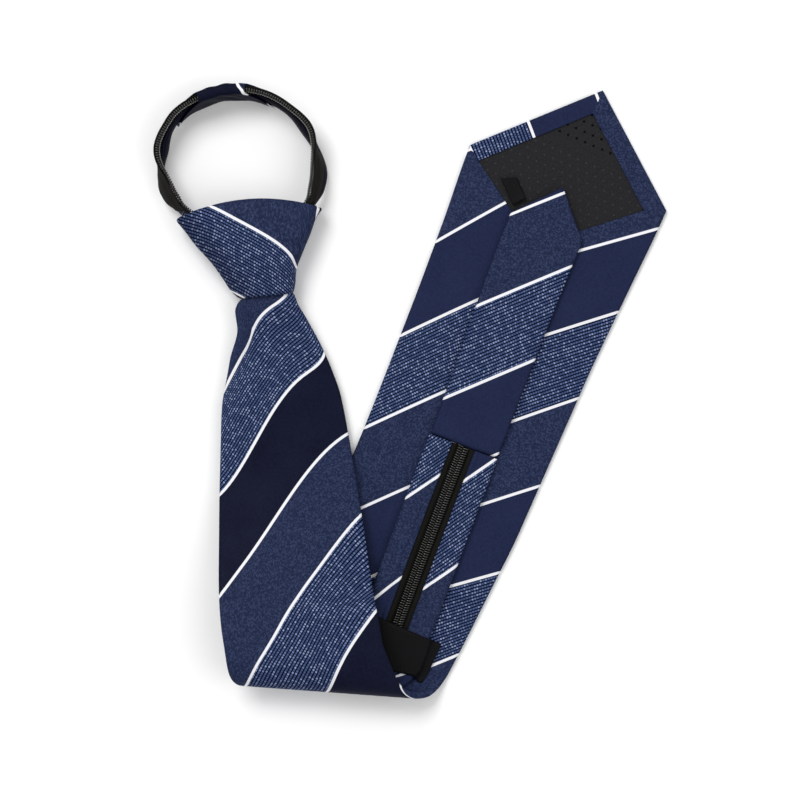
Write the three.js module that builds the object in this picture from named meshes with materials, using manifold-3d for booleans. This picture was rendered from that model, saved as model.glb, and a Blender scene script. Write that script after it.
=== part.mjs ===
// A pre-tied zip necktie, lying on a surface with its front blade folded under.
// Lengths are millimetres and angles degrees. X is to the right, Y up the page and Z up from the surface.
import * as THREE from "three";
import { mergeVertices } from "three/addons/utils/BufferGeometryUtils.js";
import Module from "manifold-3d";

const wasm = await Module();
wasm.setup();

// Clearances and cloth
const gap = 0.3; // between pieces that touch
const bladeThick = 2.6; // folded and pressed envelope of the front blade
const tailThick = 2.6; // envelope of the tail blade
const baseThick = 1.2; // front cloth alone, under the tipping
const tippingThick = 0.8;
const labelThick = 1;
const tagThick = 0.6;

// Front blade, from the knot down to the fold and back up to the tip
const mouthX = -56.9; // where the blade leaves the knot
const mouthY = 37.6;
const tuckedEnd = 7; // blade inside the knot
const frontRun = 148; // from the knot to the fold
const backRun = 251.6; // from the fold to the point of the tip
const tipDepthLeft = 41.6; // from the left corner to the point
const tipDepthRight = 34; // from the right corner to the point
const mouthWidth = 22; // gathered at the knot
const bladeWidth = 82; // across the corners
const foldTilt = 4.2; // of the fold's line, down to the right
const foldRadius = 9.5; // of the middle of the cloth
const foldDrift = 4; // sideways slip of the cloth round the fold
const mouthHeight = 8.5; // of the cloth's middle where it leaves the knot
const restHeight = 6.6; // at its lowest, halfway down
const crown = 2.4; // how far the sides sink below the middle

// Tip of the blade
const hemWidth = 7.6; // turned in along the two edges of the point
const flapOpenWidth = 68.8; // across the tipping at its widest
const flapMeetDepth = 68; // where the two flaps meet, from the point

// Tail: two cloth strips on a closed zip, and a small blade
const stripWidth = 9.8;
const stripThick = 3;
const slotHeight = 1.3; // for the tape
const slotDepth = 3.7;
const tapeThick = 0.4;
const tapeShow = 2; // between coil and strip
const tapeTuck = 3.4; // inside the strip
const coilWidth = 2;
const coilThick = 2.2;
const tailBladeStart = 98.6; // from the fold
const tailBladeLength = 93.6; // to its corners
const tailTipDepth = 17.2;
const tailBottomWidth = 28.4;
const tailTopWidth = 31;

// Keeper label and care tag
const keeperWidth = 57;
const keeperHeight = 18.7;
const keeperStart = 3.6; // from the fold
const keeperShift = 1.3; // to the right of the blade's middle
const keeperSeat = 2.5; // sewn down at each end
const keeperRamp = 1.4; // from the seat up to the strips
const tagWidth = 6.4;
const tagLength = 9.6;
const tagTurn = 48;
const tagFromTip = 51.5;
const tagShare = -0.49; // of the way from the middle to the tipping's corner

// Knot
const knotHeight = 37;
const knotHalfWidth = 28.5;
const knotThick = 18;
const knotWall = 1.6;
const knotTurn = 10; // of its axis, up to the left
const knotPull = 0.9; // how stiffly the bands turn in the knot, as a share of the way through

// Neck loop
const loopX = -68;
const loopY = 93;
const loopRadius = 32;
const joinAngle = 104; // where the two bands meet
const leftEntry = 222; // where they leave the knot
const rightEntry = -33;
const bandEnd = 0.4; // from the join
const loopLean = 12; // outwards, of the standing band
const sleeveLean = 5;
const entryLean = -24; // inwards, beside the knot
const sleeveWall = 1;
const sleeveTopSpan = 40;
const sleeveBottomSpan = 96;

// Slider, hidden in the knot
const sliderLength = 9;
const sliderWidth = 9;
const sliderPlate = 1;
const sliderPost = 1.2; // width of the post that parts the coils
const sliderPostLength = 1.5;
const sliderInset = 12.5; // above the knot's mouth, to the slider's middle

// Heading of the blade's middle, from straight down, by share of frontRun
const headings = [
  { at: -0.1, turn: 8 },
  { at: 0, turn: 8 },
  { at: 0.08, turn: 9.4 },
  { at: 0.17, turn: 8.6 },
  { at: 0.24, turn: 6 },
  { at: 0.32, turn: 4.6 },
  { at: 0.72, turn: 4.6 },
  { at: 0.82, turn: 8.5 },
  { at: 0.9, turn: 15.3 },
  { at: 1, turn: 15.3 },
];

// Half widths to the left and right of the middle, as shares from mouthWidth up to bladeWidth
const frontWidths = [
  { at: -0.05, left: -0.17, right: -0.17 },
  { at: 0.012, left: -0.15, right: -0.15 },
  { at: 0.022, left: 0, right: 0 },
  { at: 0.071, left: 0.08, right: 0.08 },
  { at: 0.152, left: 0.247, right: 0.247 },
  { at: 0.223, left: 0.353, right: 0.353 },
  { at: 0.283, left: 0.427, right: 0.427 },
  { at: 0.388, left: 0.487, right: 0.487 },
  { at: 0.544, left: 0.563, right: 0.557 },
  { at: 0.687, left: 0.617, right: 0.607 },
  { at: 0.823, left: 0.667, right: 0.64 },
  { at: 0.918, left: 0.717, right: 0.627 },
  { at: 1, left: 0.767, right: 0.593 },
];
const backWidths = [
  { at: -0.06, left: 0.72, right: 0.72 },
  { at: 0, left: 0.72, right: 0.83 },
  { at: 0.06, left: 0.72, right: 0.885 },
  { at: 0.2, left: 0.73, right: 0.95 },
  { at: 0.3, left: 0.735, right: 0.987 },
  { at: 0.56, left: 0.815, right: 0.99 },
  { at: 0.7, left: 0.882, right: 1.02 },
  { at: 0.86, left: 0.97, right: 1.06 },
];

// How far the rows of the blade's and the tail's cloth are skewed to run along the fold, by share of frontRun
const skews = [
  { at: 0.35, share: 0 },
  { at: 0.85, share: 1 },
  { at: 1.4, share: 1 },
  { at: 2.2, share: 0 },
];
const tailSkews = [
  { at: 0.7, share: 0 },
  { at: 0.92, share: 1 },
  { at: 1.28, share: 1 },
  { at: 1.55, share: 0 },
];

// The tail's middle beside the blade's, by share of the way from the knot to the tip
const tailAside = [
  { at: -0.1, aside: 0 },
  { at: 0.04, aside: 0 },
  { at: 0.14, aside: 3 },
  { at: 0.26, aside: 8.4 },
  { at: 0.34, aside: 12.4 },
  { at: 0.415, aside: 12 },
  { at: 0.47, aside: 10.4 },
  { at: 0.64, aside: 6.3 },
  { at: 0.91, aside: 1 },
];

// Width of the strips where they are gathered into the knot, by share of frontRun
const squeezes = [
  { at: -0.05, share: 0.28 },
  { at: 0.02, share: 0.28 },
  { at: 0.2, share: 0.9 },
  { at: 0.26, share: 1 },
];

// The neck loop's middle, by angle round its centre, as shares of loopRadius
const loopShape = [
  { at: -36, share: 1.0 },
  { at: -14.8, share: 0.998 },
  { at: -1.7, share: 0.975 },
  { at: 15.7, share: 0.921 },
  { at: 38, share: 0.87 },
  { at: 60, share: 0.838 },
  { at: 87, share: 0.815 },
  { at: 107, share: 0.828 },
  { at: 126, share: 0.87 },
  { at: 138.5, share: 0.92 },
  { at: 149, share: 0.958 },
  { at: 167, share: 0.986 },
  { at: 181, share: 0.994 },
  { at: 197, share: 0.98 },
  { at: 207, share: 0.952 },
  { at: 226, share: 0.89 },
];

// Sections of the knot from its mouth up: how far up, out to each side, and how thick
const knotRows = [
  { left: 0.02, right: -0.02, leftOut: 0.38, rightOut: 0.38, arch: 0, thick: 0.69 },
  { left: 0.12, right: 0.1, leftOut: 0.475, rightOut: 0.435, arch: 0.01, thick: 0.77 },
  { left: 0.26, right: 0.22, leftOut: 0.555, rightOut: 0.475, arch: 0.02, thick: 0.88 },
  { left: 0.44, right: 0.38, leftOut: 0.665, rightOut: 0.595, arch: 0.05, thick: 0.96 },
  { left: 0.67, right: 0.58, leftOut: 0.85, rightOut: 0.76, arch: 0.08, thick: 1 },
  { left: 0.84, right: 0.74, leftOut: 0.96, rightOut: 0.88, arch: 0.1, thick: 1 },
  { left: 0.96, right: 0.82, leftOut: 1.045, rightOut: 0.975, arch: 0.12, thick: 0.97 },
  { left: 0.99, right: 0.845, leftOut: 1.025, rightOut: 0.955, arch: 0.135, thick: 0.93 },
];

// A smooth value of one column of a table at a place between its rows
function read(table, at, column) {
  const last = table.length - 1;
  if (at <= table[0].at) return table[0][column];
  if (at >= table[last].at) return table[last][column];
  let i = 0;
  while (table[i + 1].at < at) i += 1;
  const slope = (k) => (table[k + 1][column] - table[k][column]) / (table[k + 1].at - table[k].at);
  const bend = (k) => {
    if (k === 0 || k === last) return 0;
    const before = slope(k - 1);
    const after = slope(k);
    return before * after <= 0 ? 0 : (2 * before * after) / (before + after);
  };
  const step = table[i + 1].at - table[i].at;
  const t = (at - table[i].at) / step;
  const a = table[i][column];
  const b = table[i + 1][column];
  const rise = t * t * (3 - 2 * t);
  const start = t * (1 - t) * (1 - t) * step * bend(i);
  const end = t * t * (t - 1) * step * bend(i + 1);
  return a + (b - a) * rise + start + end;
}

const rad = (degrees) => THREE.MathUtils.degToRad(degrees);
const lerp = THREE.MathUtils.lerp;

// Heights of the layers in the fold
const foldHeight = bladeThick / 2 + foldRadius; // of the fold's axis
const topHeight = foldHeight + foldRadius;
const tailLift = bladeThick / 2 + gap + stripThick / 2; // from the blade's middle to the strips' middle
const overBack = bladeThick + gap + stripThick + gap + bladeThick / 2;
const overTail = overBack + stripThick + gap;

// Height of the front blade's middle, by share of frontRun up from the fold
const frontHeights = [
  { at: 0, height: topHeight },
  { at: 0.09, height: topHeight - 1.2 },
  { at: 0.36, height: overTail + 0.4 },
  { at: 0.54, height: overBack + 0.2 },
  { at: 0.7, height: restHeight },
  { at: 0.86, height: restHeight + 0.2 },
  { at: 0.97, height: mouthHeight },
  { at: 1.2, height: mouthHeight },
];
const crowns = [
  { at: 0, share: 0 },
  { at: 0.12, share: 0.3 },
  { at: 0.35, share: 1 },
  { at: 0.8, share: 1 },
  { at: 0.93, share: 0.7 },
  { at: 1.0, share: 0 },
];

// The middle line of the front, walked in small steps from the knot
const walkStep = 1;
const startTurn = rad(headings[0].turn);
const walk = [];
{
  let x = mouthX;
  let y = mouthY;
  for (let s = 0; s <= frontRun; s += walkStep) {
    walk.push({ x, y });
    const turn = rad(read(headings, (s + walkStep / 2) / frontRun, "turn"));
    x += Math.sin(turn) * walkStep;
    y -= Math.cos(turn) * walkStep;
  }
}
const foldTurn = rad(headings[headings.length - 1].turn);

function middle(s) {
  const last = walk.length - 1;
  if (s < 0) {
    return { x: mouthX + s * Math.sin(startTurn), y: mouthY - s * Math.cos(startTurn), turn: startTurn };
  }
  if (s >= last * walkStep) {
    const past = s - last * walkStep;
    const end = walk[last];
    return { x: end.x + past * Math.sin(foldTurn), y: end.y - past * Math.cos(foldTurn), turn: foldTurn };
  }
  const i = Math.floor(s / walkStep);
  const t = s / walkStep - i;
  const turn = rad(read(headings, s / frontRun, "turn"));
  return { x: lerp(walk[i].x, walk[i + 1].x, t), y: lerp(walk[i].y, walk[i + 1].y, t), turn };
}

// The fold's line: a point on it, its direction, and the direction past it
const foldPoint = middle(frontRun);
const along = new THREE.Vector2(Math.cos(rad(foldTilt)), -Math.sin(rad(foldTilt)));
const past = new THREE.Vector2(-Math.sin(rad(foldTilt)), -Math.cos(rad(foldTilt)));
const rowSkew = Math.tan(foldTurn + rad(foldTilt));
const foldLength = (Math.PI * foldRadius) / Math.cos(foldTurn + rad(foldTilt));
const backStart = frontRun + foldLength;
const tipAt = backStart + backRun;
const tipDepth = (side) => (side < 0 ? tipDepthLeft : tipDepthRight);

function halfWidth(s, side) {
  const column = side < 0 ? "left" : "right";
  const inner = mouthWidth / 2;
  const outer = bladeWidth / 2;
  const corner = lerp(inner, outer, backWidths[backWidths.length - 1][column]);
  if (s > tipAt - tipDepth(side)) return (corner * Math.max(0, tipAt - s)) / tipDepth(side);
  const front = read(frontWidths, s / frontRun, column);
  const back = read(backWidths, (s - backStart) / backRun, column);
  const share = s < frontRun ? front : lerp(front, back, Math.min(1, (s - frontRun) / foldLength));
  return inner + (outer - inner) * share;
}

// The middle of the blade's cloth at s along it and u to the right, folded under past the fold's line
function clothPoint(s, u) {
  const m = middle(s);
  const x = m.x + u * Math.cos(m.turn);
  const y = m.y + u * Math.sin(m.turn);
  const across = (x - foldPoint.x) * along.x + (y - foldPoint.y) * along.y;
  const beyond = (x - foldPoint.x) * past.x + (y - foldPoint.y) * past.y;
  if (beyond <= 0) {
    const back = -beyond / frontRun;
    const sink = crown * read(crowns, back, "share") * (u / halfWidth(Math.max(s, 0), u)) ** 2;
    return new THREE.Vector3(x, y, read(frontHeights, back, "height") - Math.min(sink, crown));
  }
  const angle = Math.min(beyond / foldRadius, Math.PI);
  const reach = foldRadius * Math.sin(angle) - (beyond - foldRadius * angle);
  const slip = across + (foldDrift * (1 - Math.cos(angle))) / 2;
  return new THREE.Vector3(
    foldPoint.x + slip * along.x + reach * past.x,
    foldPoint.y + slip * along.y + reach * past.y,
    foldHeight + foldRadius * Math.cos(angle),
  );
}

// A point lifted off the blade's middle towards its back, which faces up past the fold
function onBlade(s, u, lift) {
  const step = 0.5;
  const down = clothPoint(s + step, u).sub(clothPoint(s - step, u));
  const right = clothPoint(s, u + step).sub(clothPoint(s, u - step));
  const normal = down.cross(right).normalize();
  return clothPoint(s, u).addScaledVector(normal, -lift);
}

// Six times the signed volume of a triangle list
function signedVolume(points, faces) {
  let sum = 0;
  for (const [a, b, c] of faces) sum += points[a].dot(points[b].clone().cross(points[c]));
  return sum;
}

// A closed geometry from points and triangles, turned to face out
function closed(points, faces) {
  const flip = signedVolume(points, faces) < 0;
  const geometry = new THREE.BufferGeometry();
  const order = faces.map(([a, b, c]) => (flip ? [a, c, b] : [a, b, c]));
  geometry.setAttribute("position", new THREE.Float32BufferAttribute(points.flatMap((p) => p.toArray()), 3));
  geometry.setIndex(order.flat());
  return geometry;
}

// Quads between two rings of the same number of points
function bridge(first, second, count) {
  const faces = [];
  for (let j = 0; j < count; j += 1) {
    const k = (j + 1) % count;
    faces.push([first + j, first + k, second + k], [first + j, second + k, second + j]);
  }
  return faces;
}

// A solid through rings of points, capped with the flat outline that all of them share
function loft(rings, outline) {
  const count = rings[0].length;
  const faces = [];
  for (let i = 0; i + 1 < rings.length; i += 1) faces.push(...bridge(i * count, (i + 1) * count, count));
  const cap = THREE.ShapeUtils.triangulateShape(
    outline.map(([x, y]) => new THREE.Vector2(x, y)),
    [],
  );
  const clockwise = THREE.ShapeUtils.isClockWise(outline.map(([x, y]) => new THREE.Vector2(x, y)));
  const end = (rings.length - 1) * count;
  for (const [a, b, c] of cap) {
    faces.push(clockwise ? [a, b, c] : [a, c, b]);
    faces.push(clockwise ? [end + a, end + c, end + b] : [end + a, end + b, end + c]);
  }
  return closed(rings.flat(), faces);
}

// A tube with a wall, through matching outer and inner rings, open at both ends
function hollowLoft(outer, inner) {
  const count = outer[0].length;
  const rows = outer.length;
  const faces = [];
  const innerStart = rows * count;
  for (let i = 0; i + 1 < rows; i += 1) {
    faces.push(...bridge(i * count, (i + 1) * count, count));
    const wall = bridge(innerStart + i * count, innerStart + (i + 1) * count, count);
    faces.push(...wall.map(([a, b, c]) => [a, c, b]));
  }
  faces.push(...bridge(innerStart, 0, count));
  faces.push(...bridge((rows - 1) * count, innerStart + (rows - 1) * count, count));
  return closed([...outer.flat(), ...inner.flat()], faces);
}

// A cloth panel in the blade's own coordinates, with thinner edges
const panelColumns = [-1, -0.96, -0.66, -0.33, 0, 0.33, 0.66, 0.96, 1];
const edgeShare = 0.55; // of the thickness, at the very edge

function panel(rows, place, thick) {
  const half = (v) => (thick / 2) * (Math.abs(v) === 1 ? edgeShare : 1);
  const outline = [
    ...panelColumns.map((v) => [v, -half(v)]),
    ...[...panelColumns].reverse().map((v) => [v, half(v)]),
  ];
  const rings = rows.map((row) => outline.map(([v, h]) => place(row, v, h)));
  return loft(rings, outline);
}

function spread(from, to, count) {
  return Array.from({ length: count + 1 }, (_, i) => lerp(from, to, i / count));
}

function asManifold(geometry) {
  const bare = new THREE.BufferGeometry();
  bare.setAttribute("position", geometry.getAttribute("position"));
  bare.setIndex(geometry.getIndex());
  const merged = mergeVertices(bare, 1e-4);
  return new wasm.Manifold(
    new wasm.Mesh({
      numProp: 3,
      vertProperties: new Float32Array(merged.getAttribute("position").array),
      triVerts: new Uint32Array(merged.getIndex().array),
    }),
  );
}

function fromManifold(solid) {
  const mesh = solid.getMesh();
  const geometry = new THREE.BufferGeometry();
  geometry.setAttribute("position", new THREE.BufferAttribute(new Float32Array(mesh.vertProperties), 3));
  geometry.setIndex(new THREE.BufferAttribute(new Uint32Array(mesh.triVerts), 1));
  return geometry;
}

// An upright prism over an outline given in the blade's own coordinates, near the tip
function prism(corners, low, high) {
  const rings = [low, high].map((z) => corners.map(([s, u]) => clothPoint(s, u).setZ(z)));
  return loft(rings, rings[0].map((p) => [p.x, p.y]));
}

// The kite-shaped opening between hems and flaps, made smaller by an inset
function tippingOutline(inset) {
  const halfPoint = (side) => Math.atan(halfWidth(tipAt - tipDepth(side), side) / tipDepth(side));
  const top = tipAt - (hemWidth + inset) / Math.sin((halfPoint(-1) + halfPoint(1)) / 2);
  const out = flapOpenWidth / 2 - inset;
  const bottom = tipAt - flapMeetDepth + inset;
  return [
    [top, 0],
    [top - out / Math.tan(halfPoint(1)), out],
    [bottom, 0],
    [top - out / Math.tan(halfPoint(-1)), -out],
  ];
}

function makeBlade() {
  const tipShare = 0.985;
  const rows = [
    ...[-tuckedEnd, -2, 1.6, 3.3, 8, 12, 16, 22, 28, 35, 44, 56, 72, 88, 102, 114, 125, 134, 141],
    ...spread(frontRun, backStart, 9),
    ...spread(backStart, tipAt - tipDepthLeft, 9).slice(1),
    tipAt - tipDepthRight,
    ...[0.35, 0.7, tipShare].map((share) => tipAt - (1 - share) * tipDepthRight),
  ];
  const place = (s0, v, h) => {
    const skew = rowSkew * read(skews, s0 / frontRun, "share");
    let u = v * halfWidth(s0, v);
    for (let pass = 0; pass < 3; pass += 1) u = v * halfWidth(s0 + skew * u, v);
    return onBlade(s0 + skew * u, u, h);
  };
  const body = asManifold(panel(rows, place, bladeThick));
  const recess = asManifold(prism(tippingOutline(0), baseThick, bladeThick * 2));
  return fromManifold(body.subtract(recess));
}

function makeTipping() {
  const low = baseThick + gap;
  return prism(tippingOutline(gap), low, low + tippingThick);
}

const tailMiddle = (s) => read(tailAside, s / tipAt, "aside");

// A place beside the tail's middle: square to the tail's own line, and along the fold where it bends
function besideTail(s, aside) {
  const slope = tailMiddle(s + 0.5) - tailMiddle(s - 0.5);
  const skew = lerp(-slope, rowSkew, read(tailSkews, s / frontRun, "share"));
  return [s + skew * aside, tailMiddle(s) + aside];
}

function makeTailBlade() {
  const start = backStart + tailBladeStart;
  const corner = start + tailBladeLength;
  const tip = corner + tailTipDepth;
  const lift = bladeThick / 2 + gap + tailThick / 2;
  const width = (s) => {
    if (s > corner) return tailTopWidth * ((tip - s) / tailTipDepth);
    return lerp(tailBottomWidth, tailTopWidth, (s - start) / tailBladeLength);
  };
  const rows = [...spread(start, corner, 6), lerp(corner, tip, 0.5), lerp(corner, tip, 0.97)];
  const place = (s, v, h) => onBlade(...besideTail(s, (v * width(s)) / 2), lift + h);
  return panel(rows, place, tailThick);
}

function makeKeeper() {
  const seat = bladeThick / 2 + gap;
  const over = seat + stripThick + 2 * gap;
  const tailHalf = coilWidth + tapeShow + 2 * gap + stripWidth + gap / 2;
  const low = backStart + keeperStart;
  const high = low + keeperHeight;
  const left = keeperShift - keeperWidth / 2;
  const right = keeperShift + keeperWidth / 2;
  const rings = spread(low, high, 4).map((s) => {
    const from = tailMiddle(s) - tailHalf - gap;
    const to = tailMiddle(s) + tailHalf + gap;
    const under = [
      [left, seat],
      [left + keeperSeat, seat],
      [from - keeperRamp, seat + stripThick / 2],
      ...spread(from, to, 5).map((u) => [u, over]),
      [Math.min(to + keeperRamp, right - keeperSeat), seat + 0.6 * stripThick],
      [right - keeperSeat / 2, seat],
      [right, seat],
    ];
    const top = [...under].reverse().map(([u, lift]) => [u, lift + labelThick]);
    return [...under, ...top].map(([u, lift]) => onBlade(s, u, lift));
  });
  const flat = rings[0].map((p) => [p.x, p.z]);
  return loft(rings, flat);
}

function makeTag() {
  const s = tipAt - tagFromTip;
  const centre = clothPoint(s, (tagShare * flapOpenWidth) / 2);
  const geometry = new THREE.BoxGeometry(tagWidth, tagLength, tagThick);
  geometry.rotateZ(rad(tagTurn) - foldTurn - 2 * rad(foldTilt));
  geometry.translate(centre.x, centre.y, bladeThick + gap + tagThick / 2);
  return geometry;
}

// Sections of the zip band: out from the coil's free edge, and up from its middle
const stripFrom = coilWidth + gap + tapeShow + gap;
const bandWidth = stripFrom + stripWidth;
const sections = {
  coil: [
    [0, -coilThick / 4],
    [coilWidth / 4, -coilThick / 2],
    [coilWidth, -coilThick / 2],
    [coilWidth, coilThick / 2],
    [coilWidth / 4, coilThick / 2],
    [0, coilThick / 4],
  ],
  tape: [
    [coilWidth + gap, -tapeThick / 2],
    [stripFrom + tapeTuck, -tapeThick / 2],
    [stripFrom + tapeTuck, tapeThick / 2],
    [coilWidth + gap, tapeThick / 2],
  ],
  strip: [
    [stripFrom, -stripThick / 2],
    [bandWidth - stripThick / 4, -stripThick / 2],
    [bandWidth, -stripThick / 4],
    [bandWidth, stripThick / 4],
    [bandWidth - stripThick / 4, stripThick / 2],
    [stripFrom, stripThick / 2],
    [stripFrom, slotHeight / 2],
    [stripFrom + slotDepth, slotHeight / 2],
    [stripFrom + slotDepth, -slotHeight / 2],
    [stripFrom, -slotHeight / 2],
  ],
};

// A section's point at a station of the band
function bandPoint(station, out, up) {
  const width = out <= stripFrom ? out : stripFrom + (out - stripFrom) * station.squeeze;
  if (station.place) return station.place(width, up);
  return station.edge.clone().addScaledVector(station.wide, width).addScaledVector(station.normal, up);
}

// Stations of one side's band along the blade, from the tail blade up to the slider
function tailStations(side) {
  const places = [
    ...spread(backStart + tailBladeStart - gap, backStart, 6),
    ...spread(backStart, frontRun, 9).slice(1),
    ...spread(frontRun, 0, 13).slice(1),
    -4,
    -sliderInset,
    -sliderInset - sliderLength / 2,
  ];
  return places.map((s, i) => {
    const squeeze = read(squeezes, s / frontRun, "share");
    const inner = i + 1 < places.length ? gap / 2 : sliderPost / 2 + gap;
    const place = (out, up) => onBlade(...besideTail(s, side * (inner + out)), tailLift + side * up);
    const edge = place(0, 0);
    const wide = place(stripFrom + stripWidth * squeeze, 0).sub(edge).normalize();
    const ahead = onBlade(s - 1, 0, tailLift).sub(onBlade(s + 1, 0, tailLift)).normalize();
    return { edge, wide, ahead, squeeze, place };
  });
}

// Half the height of the leaning band, and how its lean, lift and width change along its half of the loop
const bandStand = (lean) => {
  return (bandWidth / 2) * Math.cos(rad(lean)) + (stripThick / 2) * Math.abs(Math.sin(rad(lean)));
};
const leans = [
  { at: 0, lean: entryLean / 2 },
  { at: 0.08, lean: entryLean },
  { at: 0.14, lean: entryLean },
  { at: 0.42, lean: loopLean },
  { at: 0.57, lean: sleeveLean },
  { at: 1, lean: sleeveLean },
];
const lifts = [
  { at: 0, height: knotWall + 2.2 },
  { at: 0.06, height: knotWall + 1.8 },
  { at: 0.24, height: 0 },
  { at: 0.34, height: 0 },
  { at: 0.54, height: sleeveWall + 2 * gap },
  { at: 1, height: sleeveWall + 2 * gap },
];
const loopSqueezes = [
  { at: 0, share: 0.55 },
  { at: 0.08, share: 0.72 },
  { at: 0.3, share: 1 },
  { at: 1, share: 1 },
];

// The standing band of the loop at an angle round its centre, and how far along its half of the loop
function loopStation(angle, share) {
  const turn = rad(angle);
  const outward = new THREE.Vector3(Math.cos(turn), Math.sin(turn), 0);
  const lean = read(leans, share, "lean");
  const squeeze = read(loopSqueezes, share, "share");
  const wide = outward.clone().multiplyScalar(-Math.sin(rad(lean)));
  wide.z = -Math.cos(rad(lean));
  const width = stripFrom + stripWidth * squeeze;
  const radius = loopRadius * read(loopShape, angle, "share");
  const height = read(lifts, share, "height") + (bandStand(lean) * width) / bandWidth + gap / 2;
  const centre = new THREE.Vector3(loopX + radius * outward.x, loopY + radius * outward.y, height);
  return { edge: centre.addScaledVector(wide, -width / 2), wide, squeeze };
}

function loopStations(side) {
  const entry = side < 0 ? leftEntry : rightEntry;
  const end = joinAngle - side * THREE.MathUtils.radToDeg(bandEnd / loopRadius);
  const count = 18;
  return spread(0, 1, count).map((share) => loopStation(lerp(entry, end, share), share));
}

// Stations through the knot, turning from the flat tail to the standing loop
function knotStations(before, after) {
  const start = before[before.length - 1];
  const first = after[0];
  const second = after[1];
  const chord = first.edge.distanceTo(start.edge);
  const leave = start.ahead.clone().multiplyScalar(chord * knotPull);
  const arrive = second.edge.clone().sub(first.edge).normalize().multiplyScalar(chord * knotPull);
  return spread(0, 1, 14)
    .slice(1, -1)
    .map((t) => {
      const a = 1 - 3 * t * t + 2 * t * t * t;
      const b = t - 2 * t * t + t * t * t;
      const c = t * t * t - t * t;
      const edge = start.edge.clone().multiplyScalar(a);
      edge.addScaledVector(leave, b).addScaledVector(first.edge, 1 - a).addScaledVector(arrive, c);
      const wide = start.wide.clone().lerp(first.wide, t * t * (3 - 2 * t)).normalize();
      return { edge, wide, squeeze: lerp(start.squeeze, first.squeeze, t) };
    });
}

function bandStations(side) {
  const tail = tailStations(side);
  const loop = loopStations(side);
  const all = [...tail, ...knotStations(tail, loop), ...loop];
  all.forEach((station, i) => {
    const before = all[Math.max(i - 1, 0)].edge;
    const after = all[Math.min(i + 1, all.length - 1)].edge;
    const ahead = after.clone().sub(before);
    station.normal = ahead.cross(station.wide).normalize();
  });
  return all;
}

function makeBand(side, kind) {
  const rings = bandStations(side).map((station) => {
    return sections[kind].map(([out, up]) => bandPoint(station, out, up));
  });
  return loft(rings, sections[kind]);
}

// A rounded box outline: a point of it at an angle
function roundedPoint(angle, power) {
  const c = Math.cos(angle);
  const s = Math.sin(angle);
  const size = (Math.abs(c) ** power + Math.abs(s) ** power) ** (-1 / power);
  return [c * size, s * size];
}

function makeKnot() {
  const up = new THREE.Vector3(-Math.sin(rad(knotTurn)), Math.cos(rad(knotTurn)), 0);
  const right = new THREE.Vector3(up.y, -up.x, 0);
  const foot = new THREE.Vector3(mouthX, mouthY, 0);
  const sides = 24;
  const power = 3.4;
  const ring = (row, inset) => {
    const tall = (knotThick / 2) * row.thick;
    return spread(0, 2 * Math.PI, sides)
      .slice(0, -1)
      .map((angle) => {
        const [c, s] = roundedPoint(angle, power);
        const out = (c < 0 ? row.leftOut : row.rightOut) * knotHalfWidth - inset;
        const share = (c + 1) / 2;
        const rise = lerp(row.left, row.right, share) + row.arch * (1 - c * c);
        return foot
          .clone()
          .addScaledVector(up, rise * knotHeight)
          .addScaledVector(right, c * out)
          .setZ(tall + s * (tall - inset));
      });
  };
  const outer = knotRows.map((row) => ring(row, 0));
  const inner = knotRows.map((row) => ring(row, knotWall));
  return hollowLoft(outer, inner);
}

function makeSleeve() {
  const count = 14;
  const slices = 4; // across the band, since the ends are cut at a slant
  const room = gap + sleeveWall;
  const ring = (share, inset) => {
    const low = -room + inset;
    const high = bandWidth + room - inset;
    const half = stripThick / 2 + room - inset;
    const outs = spread(low, high, slices);
    const face = outs.map((out) => [out, -half]);
    const back = outs.map((out) => [out, half]).reverse();
    return [...face, ...back].map(([out, up]) => {
      const span = lerp(sleeveTopSpan, sleeveBottomSpan, THREE.MathUtils.clamp(out / bandWidth, 0, 1));
      const angle = joinAngle + (share - 0.5) * span;
      const station = loopStation(angle, 1);
      const ahead = loopStation(angle + 1, 1).edge.sub(loopStation(angle - 1, 1).edge);
      station.normal = ahead.cross(station.wide).normalize();
      return station.edge
        .clone()
        .addScaledVector(station.wide, out)
        .addScaledVector(station.normal, up);
    });
  };
  const outer = spread(0, 1, count).map((share) => ring(share, 0));
  const inner = spread(0, 1, count).map((share) => ring(share, sleeveWall));
  return hollowLoft(outer, inner);
}

function makeSlider() {
  const plateAt = coilThick / 2 + gap + sliderPlate / 2;
  const post = new THREE.BoxGeometry(sliderPost, sliderPostLength, 2 * plateAt);
  post.translate(0, (sliderLength - sliderPostLength) / 2, 0);
  let body = asManifold(post);
  for (const side of [-1, 1]) {
    const plate = new THREE.BoxGeometry(sliderWidth, sliderLength, sliderPlate);
    plate.translate(0, 0, side * plateAt);
    body = body.add(asManifold(plate));
  }
  const place = onBlade(-sliderInset, 0, tailLift);
  const geometry = fromManifold(body);
  geometry.rotateZ(startTurn);
  geometry.translate(place.x, place.y, place.z);
  return geometry;
}

// Colours as the cloth, tape and nylon show them
const finishes = {
  navyCloth: { color: 0x1b2747, roughness: 0.6, metalness: 0 },
  navyTexture: { color: 0x24365a, roughness: 0.65, metalness: 0 },
  blackTape: { color: 0x17181a, roughness: 0.8, metalness: 0 },
  blackNylon: { color: 0x101112, roughness: 0.4, metalness: 0 },
  blackSatin: { color: 0x151517, roughness: 0.55, metalness: 0 },
  darkMetal: { color: 0x2a2b2e, roughness: 0.4, metalness: 0.8 },
};

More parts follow.
